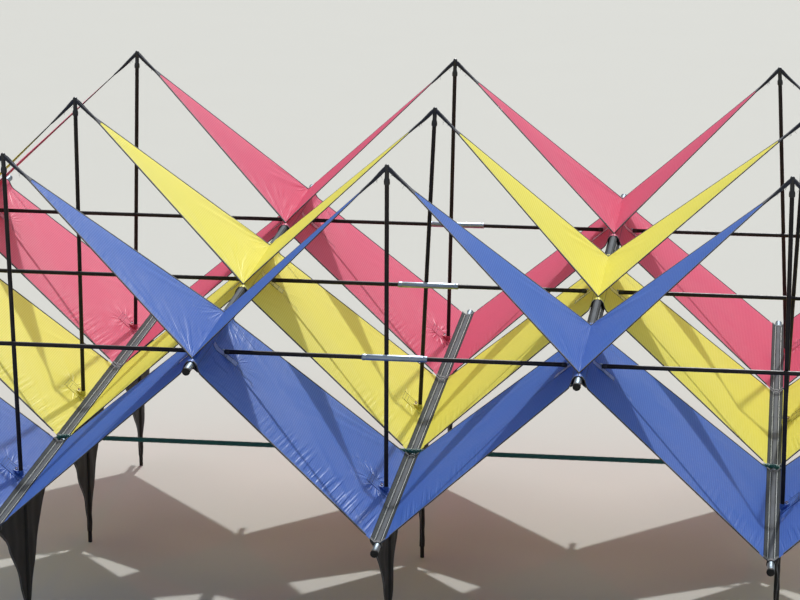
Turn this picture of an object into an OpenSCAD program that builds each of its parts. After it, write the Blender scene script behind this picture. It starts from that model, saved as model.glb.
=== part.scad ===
// Cellular box kite in bays, standing on its keels.
// Three rows of cells, front, middle and back, share the same lengthwise tubes.
// X runs along the bays, Y from the front row to the back row and Z up.
// The origin is on the ground under the middle of the kite.

/* [Bays] */
// Number of bays side by side
bays = 3; // [2:1:6]
// Distance between two bottom longerons
pitch = 840; // [640:10:1100]
// Height of the side longerons over the bottom ones
side_h = 362; // [280:1:430]
// Height of the mast tips over the bottom longerons
tip_h = 774; // [640:2:900]
// Height of the bottom longerons over the ground
keel_h = 365; // [260:5:480]

/* [Rows] */
// Length of one cell along its bottom longeron
cell_l = 590; // [440:10:760]
// Gap between the front and the middle cells, which the rope runs through
rope_gap = 17; // [16:1:40]
// Gap between the middle and the back cells
row_gap = 5; // [2:1:30]
// Draw-in of a lower sheet's edge at the side longeron, at each end
lower_inset = 91; // [40:1:130]
// Draw-in of an upper sheet's edge at the side longeron, at each end
upper_inset = 109; // [60:1:160]

/* [Tubes and spars] */
// Outside diameter of a longeron
tube_d = 16; // [12:0.5:22]
// Wall of a longeron
tube_wall = 1.5; // [1:0.25:3]
// Length of longeron that shows past the cloth at each end
tube_out = 42; // [20:1:80]
// Length of the cap on a longeron's end
cap_l = 9; // [5:1:20]
// Outside diameter of a mast, a keel spar and a cross spar
spar_d = 10; // [7:0.5:13]
// Wall of a mast and a cross spar
spar_wall = 1.5; // [1:0.25:2.5]
// Outside diameter of a ferrule
ferrule_d = 14; // [13.5:0.5:20]
// Length of a ferrule
ferrule_l = 146; // [80:2:220]
// Distance from a bottom longeron to the mast beside it
mast_off = 21; // [19:0.5:30]
// Distance from a bottom longeron to the keel spar beside it
keel_off = 15; // [14.5:0.5:24]
// Distance down the lower sheet from a side longeron to a cross spar's end
spar_end_off = 38; // [30:1:70]

/* [Cloth] */
// Modelled thickness of a sheet
cloth_t = 1; // [0.8:0.1:2]
// Width of a hem tape
hem_w = 6; // [4:0.5:12]
// Thickness of a hem tape
hem_t = 2; // [1.5:0.1:4]
// Wall of a longeron's sleeve
sleeve_t = 1; // [0.8:0.1:2]
// Width of a bottom sleeve's flange, measured from the longeron's axis along the sheet
bottom_flange_w = 19; // [15:0.5:30]
// Width of a side sleeve's flange, measured in the same way
side_flange_w = 22; // [16:0.5:34]
// Thickness of a sleeve's flange
flange_t = 1.2; // [0.8:0.1:2]

/* [Keel] */
// Thickness of a keel fin
fin_t = 1.4; // [1:0.1:3]
// How far a fin's edge is cut hollow
fin_hollow = 40; // [10:1:80]
// Length of bare keel spar under the fin
bare_l = 30; // [15:1:80]
// Wall of the sleeve that holds the keel spar in the fin
keel_sleeve_t = 1.2; // [0.8:0.1:2.5]

/* [Tip] */
// Diameter of the mast's tip cap
tip_cap_d = 13; // [12:0.5:18]
// Diameter of the socket at the lower end of a tip's cap
socket_d = 14; // [13.5:0.5:22]
// Length of a tip's cap with its socket
tip_cap_l = 46; // [38:1:80]
// Depth of the socket that takes the mast
socket_depth = 10; // [8:0.5:13]
// Length of the webbing down each wing
webbing_l = 62; // [40:1:110]
// Thickness of the webbing
webbing_t = 5; // [3:0.5:8]
// Drop from the mast's tip to the webbing
webbing_drop = 9; // [6:0.5:16]
// Share of the masts' sideways lean that is shown, with 0 for upright masts
lean_share = 1; // [0:0.1:1.2]

/* [Pockets] */
// Length of a pocket's strap along the sheet
strap_l = 78; // [60:1:140]
// Width of a pocket's strap
strap_w = 50; // [24:1:80]
// Thickness of a pocket's strap
strap_t = 2; // [1.8:0.1:3]
// Height of the folded pocket that holds a mast's foot
pocket_h = 16; // [8:1:30]
// Length of the folded pocket round a cross spar's end
spar_pocket_l = 14; // [10:1:40]
// Wall of a folded pocket
pocket_wall = 1.5; // [1:0.1:3]

/* [Rope] */
// Diameter of the anchor rope
rope_d = 13; // [8:0.5:14]

/* [Hidden] */
$fn = 48;

// Clearances: between pieces that rest on each other, and in a bore
seat = 0.3;
slip = 0.15;

// Rows
ROWS = [0, 1, 2];
total_l = len(ROWS) * cell_l + rope_gap + row_gap;
front_y = -total_l / 2;
function row_y(r) = front_y + r * cell_l + (r > 0 ? rope_gap : 0) + (r > 1 ? row_gap : 0);
function mid_y(r) = row_y(r) + cell_l / 2;

// Bays: each has one bottom longeron, and the side longerons stand where two bays meet
BOTTOMS = [for (i = [0 : bays - 1]) i];
SIDES = [for (i = [0 : bays]) i];
function bottom_x(i) = (i - (bays - 1) / 2) * pitch;
function side_x(j) = (j - bays / 2) * pitch;

// Masts and keels stand to the left of the bottom longeron, and in the last bays to the right
function hand(i) = i < ceil(bays / 2) ? -1 : 1;
function mast_x(i) = bottom_x(i) + hand(i) * mast_off;
function keel_x(i) = bottom_x(i) + hand(i) * keel_off;
bottom_z = keel_h;
side_z = keel_h + side_h;
tip_z = keel_h + tip_h;

// Sideways lean of each mast's tip, by row and then by bay. Further bays stand upright.
TIP_LEAN = [[-14, 3, -4], [2, 35, 25], [23, 15, -41]];
function lean(r, i) = i < len(TIP_LEAN[r]) ? lean_share * TIP_LEAN[r][i] : 0;

// Slope of the lower sheets, from the axis of a bottom longeron to that of a side one
half = pitch / 2;
lower_len = norm([half, side_h]);
lower_a = atan2(side_h, half);

// The upper sheets start on top of the side sleeve and end at the mast's tip
ring_r = tube_d / 2 + slip + sleeve_t;
wing_z = side_z + ring_r + seat;
wing_rise = tip_z - webbing_drop - wing_z;
// A wing that rises to the right has dir 1. Its reach is how far beyond the bottom longeron
// it ends: more than 0 for the longer wing of a bay, and less for the shorter one.
function reach(r, i, dir) = dir * (hand(i) * mast_off + lean(r, i));
function wing_run(reach) = half + reach;
function wing_len(reach) = norm([wing_run(reach), wing_rise]);
function wing_a(reach) = atan2(wing_rise, wing_run(reach));
function wing_start(reach) = (hem_t / 2 * sin(wing_a(reach)) + seat / 2) / cos(wing_a(reach));
function wing_end(reach) = wing_len(reach) - webbing_l;
tip_r = tip_cap_d / 2;

// Width of cloth that is left between the two hems where a wing ends
point_w = 1;
point_edge = cell_l / 2 - hem_w - point_w / 2;

// Edges of the sheets at a distance u up the slope, measured from the cell's end
function lower_edge(u) = lower_inset * u / lower_len;
function wing_edge(u, reach) = upper_inset + (point_edge - upper_inset) * u / wing_end(reach);

// Height of a point on a lower sheet's upper face, at a distance d from the bottom axis
function sheet_top(d) = bottom_z + d * tan(lower_a) + cloth_t / 2 / cos(lower_a);
function sheet_under(d) = bottom_z + d * tan(lower_a) - cloth_t / 2 / cos(lower_a);

// Masts stand in their pockets, keel spars reach up to the sheet
mast_foot_z = sheet_top(mast_off + spar_d / 2) + strap_t + seat;
mast_top_z = tip_z - tip_cap_l + socket_depth;
keel_top_z = sheet_under(keel_off - spar_d / 2) - seat;

// Children are drawn on a mast's axis, at their heights over its foot
module on_mast(r, i) {
    translate([mast_x(i), mid_y(r), mast_foot_z])
        rotate([0, atan2(lean(r, i), tip_z - webbing_drop - mast_foot_z), 0]) children();
}

// Cross spars pass in front of the masts, and their ends rest on the straps
cross_y = -(spar_d + ferrule_d) / 2 - seat;
cross_z = side_z - spar_end_off * sin(lower_a);
spar_rest = (cloth_t / 2 + strap_t + seat + spar_d / 2 * cos(lower_a)) / sin(lower_a);
cross_end = half - spar_end_off * cos(lower_a) - spar_rest;

// Rope on top of the bare longeron, in the gap between the front and the middle cells
rope_y = row_y(1) - rope_gap / 2;
rope_r = rope_d / 2;
hitch_r = tube_d / 2 + seat + rope_r;
rope_z = bottom_z + hitch_r;

// Children are drawn with X up a slope that leaves (x, z) to the right or to the left
module on_slope(x, z, a, dir) {
    translate([x, 0, z])
        if (dir > 0) rotate([0, -a, 0]) children();
        else mirror([1, 0, 0]) rotate([0, -a, 0]) children();
}

// A flat panel between two places on a slope, each given by its front and back edge
module panel(u0, front0, back0, u1, front1, back1, t) {
    translate([0, 0, -t / 2])
        linear_extrude(t)
            polygon([[u0, front0], [u1, front1], [u1, back1], [u0, back0]]);
}

// The cloth of a tapering sheet, or the hems on its two edges
module taper(r, u0, in0, u1, in1, part, t) {
    f = row_y(r);
    b = row_y(r) + cell_l;
    if (part == "cloth")
        panel(u0, f + in0 + hem_w, b - in0 - hem_w, u1, f + in1 + hem_w, b - in1 - hem_w, t);
    else {
        panel(u0, f + in0, f + in0 + hem_w, u1, f + in1, f + in1 + hem_w, t);
        panel(u0, b - in0 - hem_w, b - in0, u1, b - in1 - hem_w, b - in1, t);
    }
}

// A part of the lower sheets between two distances up the slope
module lower_taper(r, u0, u1, part, t) {
    for (i = BOTTOMS, dir = [-1, 1])
        on_slope(bottom_x(i), bottom_z, lower_a, dir)
            taper(r, u0, lower_edge(u0), u1, lower_edge(u1), part, t);
}

module upper_taper(r, part, t) {
    for (i = BOTTOMS, dir = [-1, 1]) {
        m = reach(r, i, dir);
        on_slope(bottom_x(i) - dir * half, wing_z, wing_a(m), dir)
            taper(r, wing_start(m), wing_edge(wing_start(m), m), wing_end(m), point_edge, part, t);
    }
}

function row_colour(r) = ["royalblue", "khaki", "palevioletred"][r];

module lower_sheets(r) {
    color(row_colour(r)) lower_taper(r, ring_r + seat, lower_len - ring_r - seat, "cloth", cloth_t);
}

module upper_sheets(r) {
    color(row_colour(r)) upper_taper(r, "cloth", cloth_t);
}

// Hems, which are as thin as the cloth where the sleeves' flanges lie on it
module hems(r) {
    color("dimgray") {
        lower_taper(r, ring_r + seat, lower_len - ring_r - seat, "hem", cloth_t);
        lower_taper(r, bottom_flange_w + seat, lower_len - side_flange_w - seat, "hem", hem_t);
        upper_taper(r, "hem", hem_t);
    }
}

// Black webbing that carries on each wing from the end of its cloth to the cap on the mast
function webbing_end(reach) =
    wing_len(reach) - (tip_r + seat + webbing_t / 2 * sin(wing_a(reach))) / cos(wing_a(reach));

module tip_webbings() {
    color("black")
        for (r = ROWS, i = BOTTOMS, dir = [-1, 1]) {
            m = reach(r, i, dir);
            w = cell_l / 2 - point_edge;
            on_slope(bottom_x(i) - dir * half, wing_z, wing_a(m), dir)
                panel(wing_end(m), mid_y(r) - w, mid_y(r) + w,
                      webbing_end(m), mid_y(r) - tip_r, mid_y(r) + tip_r, webbing_t);
        }
}

// Cap on a mast's tip: a round head, a neck and the socket that takes the mast
NECK_TO_END = 15;
SHOULDER = 4;
module tip_caps(r) {
    neck_r = min(spar_d / 2, tip_r - 1);
    bore_r = spar_d / 2 + slip;
    socket_r = max(socket_d / 2, bore_r + 1.2);
    top = tip_z - mast_foot_z;
    end = top - tip_cap_l;
    color("black")
        for (i = BOTTOMS)
            on_mast(r, i)
                rotate_extrude()
                    difference() {
                        polygon([
                            [0, top], [tip_r * 0.6, top - tip_r * 0.2],
                            [tip_r * 0.92, top - tip_r * 0.6], [tip_r, top - tip_r],
                            [tip_r, top - tip_r * 1.5], [neck_r, top - tip_r * 1.5 - SHOULDER],
                            [neck_r, end + NECK_TO_END], [socket_r - 0.5, end + socket_depth + 1],
                            [socket_r, end + socket_depth / 2], [socket_r - 0.4, end], [0, end]
                        ]);
                        translate([0, end - 1]) square([bore_r, socket_depth + 1 + seat]);
                    }
}

// Longerons: open tubes closed by a cap at each end
bottom_tube_l = total_l + 2 * tube_out;
side_tube_l = total_l - 2 * lower_inset + 2 * tube_out;

module tube_along_y(x, z, l) {
    translate([x, l / 2, z])
        rotate([90, 0, 0])
            difference() {
                cylinder(d = tube_d, h = l);
                translate([0, 0, -1]) cylinder(d = tube_d - 2 * tube_wall, h = l + 2);
            }
}

module bottom_longerons() {
    color("silver")
        for (i = BOTTOMS) tube_along_y(bottom_x(i), bottom_z, bottom_tube_l);
}

module side_longerons() {
    color("silver")
        for (j = SIDES) tube_along_y(side_x(j), side_z, side_tube_l);
}

// End cap of a longeron: a rounded head with a plug inside the tube
module end_cap() {
    head_r = tube_d / 2;
    plug_r = tube_d / 2 - tube_wall - slip;
    edge = min(2, cap_l / 3);
    rotate([-90, 0, 0])
        rotate_extrude()
            polygon([
                [0, -cap_l * 1.6], [plug_r, -cap_l * 1.6], [plug_r, 0], [head_r, 0],
                [head_r, cap_l - edge], [head_r - edge * 0.3, cap_l - edge * 0.3],
                [head_r - edge, cap_l], [0, cap_l]
            ]);
}

module end_caps(dir) {
    for (i = BOTTOMS)
        translate([bottom_x(i), dir * bottom_tube_l / 2, bottom_z])
            rotate([0, 0, dir > 0 ? 0 : 180]) end_cap();
    for (j = SIDES)
        translate([side_x(j), dir * side_tube_l / 2, side_z])
            rotate([0, 0, dir > 0 ? 0 : 180]) end_cap();
}

// Outline of a sleeve: a ring round the longeron and a flange on each lower sheet.
// The flanges rise from a bottom longeron over the sheets, and fall from a side one under them.
module sleeve_outline(rise) {
    flange_w = rise > 0 ? bottom_flange_w : side_flange_w;
    flange_y = rise > 0 ? cloth_t / 2 : -cloth_t / 2 - flange_t;
    difference() {
        union() {
            circle(r = ring_r);
            for (dir = [-1, 1])
                mirror([dir > 0 ? 0 : 1, 0])
                    rotate(rise * lower_a)
                        translate([0, flange_y])
                            square([flange_w, flange_t]);
        }
        circle(r = tube_d / 2 + slip);
    }
}

module sleeve_along_y(x, z, y, l, rise) {
    translate([x, y + l, z])
        rotate([90, 0, 0])
            linear_extrude(l) sleeve_outline(rise);
}

module bottom_sleeves() {
    color("slategray")
        for (r = ROWS, i = BOTTOMS)
            sleeve_along_y(bottom_x(i), bottom_z, row_y(r), cell_l, 1);
}

module side_sleeves() {
    color("slategray")
        for (j = SIDES)
            sleeve_along_y(side_x(j), side_z, front_y + lower_inset, total_l - 2 * lower_inset, -1);
}

// A tube that stands on the origin
module tube(outer_d, inner_d, l) {
    difference() {
        cylinder(d = outer_d, h = l);
        translate([0, 0, -1]) cylinder(d = inner_d, h = l + 2);
    }
}

module masts(r) {
    color([0.18, 0.15, 0.14])
        for (i = BOTTOMS)
            on_mast(r, i) tube(spar_d, spar_d - 2 * spar_wall, mast_top_z - mast_foot_z);
}

// A tube across a bay, from x0 to x1, measured from the bottom longeron
module cross_tube(r, i, x0, x1, outer_d, inner_d) {
    translate([bottom_x(i) + x0, mid_y(r) + cross_y, cross_z])
        rotate([0, 90, 0]) tube(outer_d, inner_d, x1 - x0);
}

// Only the middle bay's cross spars are in two halves, which meet inside a ferrule
middle_bay = floor(bays / 2);
module cross_spars(r) {
    inner_d = spar_d - 2 * spar_wall;
    color([0.18, 0.15, 0.14])
        for (i = BOTTOMS)
            if (i == middle_bay) {
                cross_tube(r, i, -cross_end, -seat / 2, spar_d, inner_d);
                cross_tube(r, i, seat / 2, cross_end, spar_d, inner_d);
            } else
                cross_tube(r, i, -cross_end, cross_end, spar_d, inner_d);
}

module ferrules(r) {
    color("silver")
        cross_tube(r, middle_bay, -ferrule_l / 2, ferrule_l / 2, ferrule_d, spar_d + 2 * slip);
}

module keel_spars(r) {
    color([0.2, 0.17, 0.16])
        for (i = BOTTOMS)
            translate([keel_x(i), mid_y(r), 0])
                cylinder(d = spar_d, h = keel_top_z);
}

// Hollow-cut edge of a fin, seen with Y to the right: an arc from the keel spar's sleeve up to
// the cell's end. Its centre lies outside the fin, so a larger radius lies further inside.
FIN_STEPS = 10;
fin_top = sheet_under(keel_off) - fin_t;
keel_sleeve_r = spar_d / 2 + slip + keel_sleeve_t;
fin_low = [keel_sleeve_r, bare_l];
fin_high = [cell_l / 2, fin_top];
fin_chord = fin_high - fin_low;
fin_chord_l = norm(fin_chord);
fin_arc_r = (fin_chord_l * fin_chord_l / 4 + fin_hollow * fin_hollow) / (2 * fin_hollow);
fin_arc_centre = (fin_low + fin_high) / 2
    + [fin_chord[1], -fin_chord[0]] / fin_chord_l * (fin_arc_r - fin_hollow);
fin_arc_middle = atan2(fin_chord[0], -fin_chord[1]);
fin_arc_half = asin(fin_chord_l / 2 / fin_arc_r);
function fin_edge(inset) = [
    for (k = [0 : FIN_STEPS])
        let (a = fin_arc_middle + fin_arc_half * (1 - 2 * k / FIN_STEPS))
        fin_arc_centre + (fin_arc_r + inset) * [cos(a), sin(a)]
];
function flipped(points) = [for (k = [len(points) - 1 : -1 : 0]) [-points[k][0], points[k][1]]];
function turned_back(points) = [for (k = [len(points) - 1 : -1 : 0]) points[k]];

// A flat outline in the fin's plane, given its thickness
module fin_plate(t) {
    rotate([90, 0, 90])
        translate([0, 0, -t / 2])
            linear_extrude(t) children();
}

module keel_fins(r) {
    color([0.14, 0.13, 0.12])
        for (i = BOTTOMS)
            translate([keel_x(i), mid_y(r), 0])
                difference() {
                    union() {
                        fin_plate(fin_t) polygon(concat(fin_edge(0), flipped(fin_edge(0))));
                        for (side = [0, 1])
                            mirror([0, side, 0])
                                fin_plate(hem_t)
                                    intersection() {
                                        polygon(concat(fin_edge(0), turned_back(fin_edge(hem_w))));
                                        translate([0, bare_l]) square([cell_l, fin_top - bare_l]);
                                    }
                        translate([0, 0, bare_l])
                            cylinder(r = keel_sleeve_r, h = bottom_z - ring_r - seat - bare_l);
                    }
                    cylinder(r = spar_d / 2 + slip, h = fin_top + 1);
                }
}

// Pockets for the masts' feet: a strap up the sheet on the mast's side, and a cup cut to its slope
pocket_r = spar_d / 2 + slip + pocket_wall;
module mast_pockets(r) {
    cup_z = sheet_top(mast_off - pocket_r) - 2;
    over_flange = cloth_t / 2 + flange_t + seat;
    color(row_colour(r))
        for (i = BOTTOMS)
            difference() {
                union() {
                    on_slope(bottom_x(i), bottom_z, lower_a, hand(i))
                        translate([bottom_flange_w + seat, mid_y(r) - strap_w / 2, cloth_t / 2])
                            cube([strap_l, strap_w, strap_t]);
                    difference() {
                        on_mast(r, i)
                            translate([0, 0, cup_z - mast_foot_z])
                                cylinder(r = pocket_r, h = mast_foot_z + pocket_h - cup_z);
                        on_slope(bottom_x(i), bottom_z, lower_a, hand(i))
                            translate([-pitch / 8, mid_y(r) - strap_w, over_flange - strap_w])
                                cube([pitch / 4, 2 * strap_w, strap_w]);
                    }
                }
                on_mast(r, i)
                    translate([0, 0, -seat]) cylinder(d = spar_d + 2 * slip, h = tip_h);
            }
}

// Pockets for the cross spars' ends: a strap down each lower sheet with a cup for the end
module spar_pockets(r) {
    u1 = lower_len - ring_r - seat;
    cup_x = cross_end - spar_pocket_l;
    cup_l = spar_pocket_l + spar_d / 2;
    color(row_colour(r))
        for (i = BOTTOMS, dir = [-1, 1])
            difference() {
                union() {
                    on_slope(bottom_x(i), bottom_z, lower_a, dir)
                        translate([u1 - strap_l, mid_y(r) + cross_y - strap_w / 2, cloth_t / 2])
                            cube([strap_l, strap_w, strap_t]);
                    difference() {
                        translate([bottom_x(i) + dir * cup_x, mid_y(r) + cross_y, cross_z])
                            rotate([0, dir * 90, 0])
                                cylinder(r = pocket_r, h = cup_l);
                        on_slope(bottom_x(i), bottom_z, lower_a, dir)
                            translate([u1 - 2 * strap_l, mid_y(r) + cross_y - strap_w, cloth_t / 2 - strap_w])
                                cube([3 * strap_l, 2 * strap_w, strap_w]);
                    }
                }
                translate([bottom_x(i), mid_y(r) + cross_y, cross_z])
                    rotate([0, dir * 90, 0])
                        cylinder(d = spar_d + 2 * slip, h = cross_end + seat);
            }
}

// Taut rope across the bays, turned round each outer bottom longeron.
// Its tail comes back up under the rope, at this angle to it.
tail_a = 50;
tail_l = ((hitch_r - rope_r) * (1 + cos(tail_a)) - seat) / sin(tail_a);
TURN_STEPS = 22;
ROPE_SIDES = 12;

// Left end of the route from the tail to the top of the longeron: [x, z, heading] at each ring
tail_end = [hitch_r * sin(tail_a) + tail_l * cos(tail_a), tail_l * sin(tail_a) - hitch_r * cos(tail_a)];
function turn_rings() = concat(
    [concat(tail_end, 180 + tail_a)],
    [for (k = [0 : TURN_STEPS])
        let (a = 270 + tail_a - (180 + tail_a) * k / TURN_STEPS)
        [hitch_r * cos(a), hitch_r * sin(a), a - 90]]
);

// The whole route: the left end, and its mirror image at the right end
function rope_rings(x0, x1) = concat(
    [for (q = turn_rings()) [x0 + q[0], q[1], q[2]]],
    [for (k = [TURN_STEPS + 1 : -1 : 0]) let (q = turn_rings()[k]) [x1 - q[0], q[1], -q[2]]]
);

module anchor_rope() {
    rings = rope_rings(bottom_x(0), bottom_x(bays - 1));
    last = len(rings) - 1;
    points = [
        for (q = rings, k = [0 : ROPE_SIDES - 1])
            let (b = 360 * k / ROPE_SIDES, out = rope_r * cos(b))
            [q[0] - out * sin(q[2]), rope_y + rope_r * sin(b), bottom_z + q[1] + out * cos(q[2])]
    ];
    skin = [
        for (n = [0 : last - 1], k = [0 : ROPE_SIDES - 1])
            let (m = (k + 1) % ROPE_SIDES, near = n * ROPE_SIDES, far = near + ROPE_SIDES)
            [near + k, near + m, far + m, far + k]
    ];
    ends = [
        [for (k = [ROPE_SIDES - 1 : -1 : 0]) k],
        [for (k = [0 : ROPE_SIDES - 1]) last * ROPE_SIDES + k]
    ];
    color("teal") polyhedron(points, concat(skin, ends));
}

lower_sheets(0);  // front_lower_sheets
lower_sheets(1);  // middle_lower_sheets
lower_sheets(2);  // back_lower_sheets
upper_sheets(0);  // front_upper_sheets
upper_sheets(1);  // middle_upper_sheets
upper_sheets(2);  // back_upper_sheets
hems(0);  // front_hems
hems(1);  // middle_hems
hems(2);  // back_hems
keel_fins(0);  // front_keel_fins
keel_fins(1);  // middle_keel_fins
keel_fins(2);  // back_keel_fins
keel_spars(0);  // front_keel_spars
keel_spars(1);  // middle_keel_spars
keel_spars(2);  // back_keel_spars
masts(0);  // front_masts
masts(1);  // middle_masts
masts(2);  // back_masts
cross_spars(0);  // front_cross_spars
cross_spars(1);  // middle_cross_spars
cross_spars(2);  // back_cross_spars
ferrules(0);  // front_ferrules
ferrules(1);  // middle_ferrules
ferrules(2);  // back_ferrules
tip_caps(0);  // front_tip_caps
tip_caps(1);  // middle_tip_caps
tip_caps(2);  // back_tip_caps
tip_webbings();
bottom_longerons();
side_longerons();
color("black") end_caps(-1);  // front_end_caps
color("gray") end_caps(1);  // back_end_caps
bottom_sleeves();
side_sleeves();
mast_pockets(0);  // front_mast_pockets
mast_pockets(1);  // middle_mast_pockets
mast_pockets(2);  // back_mast_pockets
spar_pockets(0);  // front_spar_pockets
spar_pockets(1);  // middle_spar_pockets
spar_pockets(2);  // back_spar_pockets
anchor_rope();
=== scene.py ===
import math

import bmesh
import bpy
import numpy as np
from mathutils import Matrix, Vector


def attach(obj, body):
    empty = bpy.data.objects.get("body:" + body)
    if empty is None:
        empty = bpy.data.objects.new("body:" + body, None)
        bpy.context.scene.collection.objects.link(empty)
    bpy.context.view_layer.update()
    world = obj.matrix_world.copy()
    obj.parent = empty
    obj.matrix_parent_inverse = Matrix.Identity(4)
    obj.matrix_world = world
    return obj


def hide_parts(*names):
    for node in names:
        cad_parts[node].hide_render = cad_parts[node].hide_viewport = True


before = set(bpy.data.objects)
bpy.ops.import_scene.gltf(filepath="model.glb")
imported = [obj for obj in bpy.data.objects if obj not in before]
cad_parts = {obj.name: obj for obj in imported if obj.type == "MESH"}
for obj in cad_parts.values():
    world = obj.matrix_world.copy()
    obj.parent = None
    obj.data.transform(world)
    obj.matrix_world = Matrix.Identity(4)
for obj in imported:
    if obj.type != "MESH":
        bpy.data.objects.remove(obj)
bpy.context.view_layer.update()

# Sizes of the kite, in metres
BAYS = 3
PITCH, HALF = 0.840, 0.420
SIDE_H, TIP_H, KEEL_H = 0.362, 0.774, 0.365
CELL_L, ROPE_GAP, ROW_GAP = 0.590, 0.017, 0.005
LOWER_INSET, UPPER_INSET = 0.091, 0.109
TUBE_R, TUBE_WALL, TUBE_OUT, CAP_L = 0.008, 0.0015, 0.042, 0.009
SPAR_R, SPAR_WALL, FERRULE_R, FERRULE_L = 0.005, 0.0015, 0.007, 0.146
MAST_OFF, KEEL_OFF = 0.021, 0.015
FLANGE_W, FLANGE_T, HEM_W = 0.022, 0.0012, 0.006
BARE_L, FIN_HOLLOW = 0.030, 0.040
WEBBING_L, WEBBING_DROP, WEBBING_LAP = 0.062, 0.009, 0.020
ROPE_R = 0.0065
RING_R, SEAT, SLIP = 0.00915, 0.0003, 0.00015
CLOTH_HALF = 0.0005
STRAP_W, MAST_STRAP_L, SPAR_STRAP_L = 0.054, 0.060, 0.072
POCKET_IN = 0.038  # from the side longeron down the slope to the cross spar's end

ROWS = ["front", "middle", "back"]
CLOTH = ["blue_ripstop", "yellow_ripstop", "pink_ripstop"]
BAY_NAMES = ["left_bay", "middle_bay", "right_bay"]
TOTAL_L = 3 * CELL_L + ROPE_GAP + ROW_GAP
ROW_Y = [-TOTAL_L / 2, -TOTAL_L / 2 + CELL_L + ROPE_GAP, TOTAL_L / 2 - CELL_L]
MID_Y = [y + CELL_L / 2 for y in ROW_Y]
BOTTOM_X = [-PITCH, 0.0, PITCH]
SIDE_X = [-1.5 * PITCH, -HALF, HALF, 1.5 * PITCH]
HAND = [-1, -1, 1]
TIP_LEAN = [[-0.014, 0.003, -0.004], [0.002, 0.035, 0.025], [0.023, 0.015, -0.041]]
SIDE_Z, TIP_Z = KEEL_H + SIDE_H, KEEL_H + TIP_H
LOWER_LEN = math.hypot(HALF, SIDE_H)
LOWER_A = math.atan2(SIDE_H, HALF)
COS_A, SIN_A, TAN_A = math.cos(LOWER_A), math.sin(LOWER_A), math.tan(LOWER_A)
WING_Z = SIDE_Z + RING_R + SEAT
CROSS_Y = -(SPAR_R + FERRULE_R) - SEAT
CROSS_Z = SIDE_Z - POCKET_IN * SIN_A
CROSS_END = HALF - POCKET_IN * COS_A - (0.0028 + SPAR_R * COS_A) / SIN_A
MAST_FOOT_Z = KEEL_H + (MAST_OFF + SPAR_R) * TAN_A + CLOTH_HALF / COS_A + 0.0023
MAST_TOP_Z = TIP_Z - 0.036
KEEL_TOP = KEEL_H + (KEEL_OFF - SPAR_R) * TAN_A - CLOTH_HALF / COS_A - SEAT
FIN_TOP = KEEL_H + KEEL_OFF * TAN_A - CLOTH_HALF / COS_A - 0.0014
POINT_HALF = HEM_W + 0.0005
WING_BASE = CELL_L / 2 - UPPER_INSET
WING_LIFT = 0.0010
SLEEVE_LIFT = 0.0095  # how far a lower sheet is lifted over the side longeron's sleeve
FLANGE_FOOT = RING_R * 1.18  # where a sleeve's flange leaves its ring
SEAM_IN, SEAM_STEP = 0.0180, 0.0007
HEM_WAVE, HEM_RUN = 0.0125, 0.45  # the unit of hem wrinkles across and along them
FAN_WAVE, FAN_RUN = 0.17, 0.16  # the same for fans, across them in radians
RIDGE_LEVEL = 0.44  # noise under this level makes no wrinkle
LOWER_STEPS, WING_STEPS, FIN_STEPS, ROPE_STEPS = 84, 78, 39, 350


def keel_x(i):
    return BOTTOM_X[i] + HAND[i] * KEEL_OFF


def mast_axis(r, i):
    """Foot and direction of a mast, which leans to one side."""
    foot = np.array([BOTTOM_X[i] + HAND[i] * MAST_OFF, MID_Y[r], MAST_FOOT_Z])
    return foot, unit([TIP_LEAN[r][i], 0, TIP_Z - WEBBING_DROP - MAST_FOOT_Z])


def wing_slope(r, i, d):
    """Direction and length of the wing that rises in direction d to the tip of mast i."""
    run = HALF + d * (HAND[i] * MAST_OFF + TIP_LEAN[r][i])
    rise = TIP_Z - WEBBING_DROP - WING_Z
    length = math.hypot(run, rise)
    return run / length, rise / length, length


def smooth(a, b, t):
    k = np.clip((t - a) / (b - a), 0.0, 1.0)
    return k * k * (3 - 2 * k)


def unit(v):
    v = np.asarray(v, float)
    return v / np.maximum(np.linalg.norm(v, axis=-1, keepdims=True), 1e-12)


def run_along(points):
    """Distance of each point of a path from its start."""
    return np.concatenate([[0], np.cumsum(np.linalg.norm(np.diff(points, axis=0), axis=1))])


# ---- node trees ----

def srgb(*colour):
    def lin(c):
        c /= 255
        return c / 12.92 if c <= 0.04045 else ((c + 0.055) / 1.055) ** 2.4
    return (*map(lin, colour), 1.0)


def spaced(named):
    return {key.replace("_", " "): value for key, value in named.items()}


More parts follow.
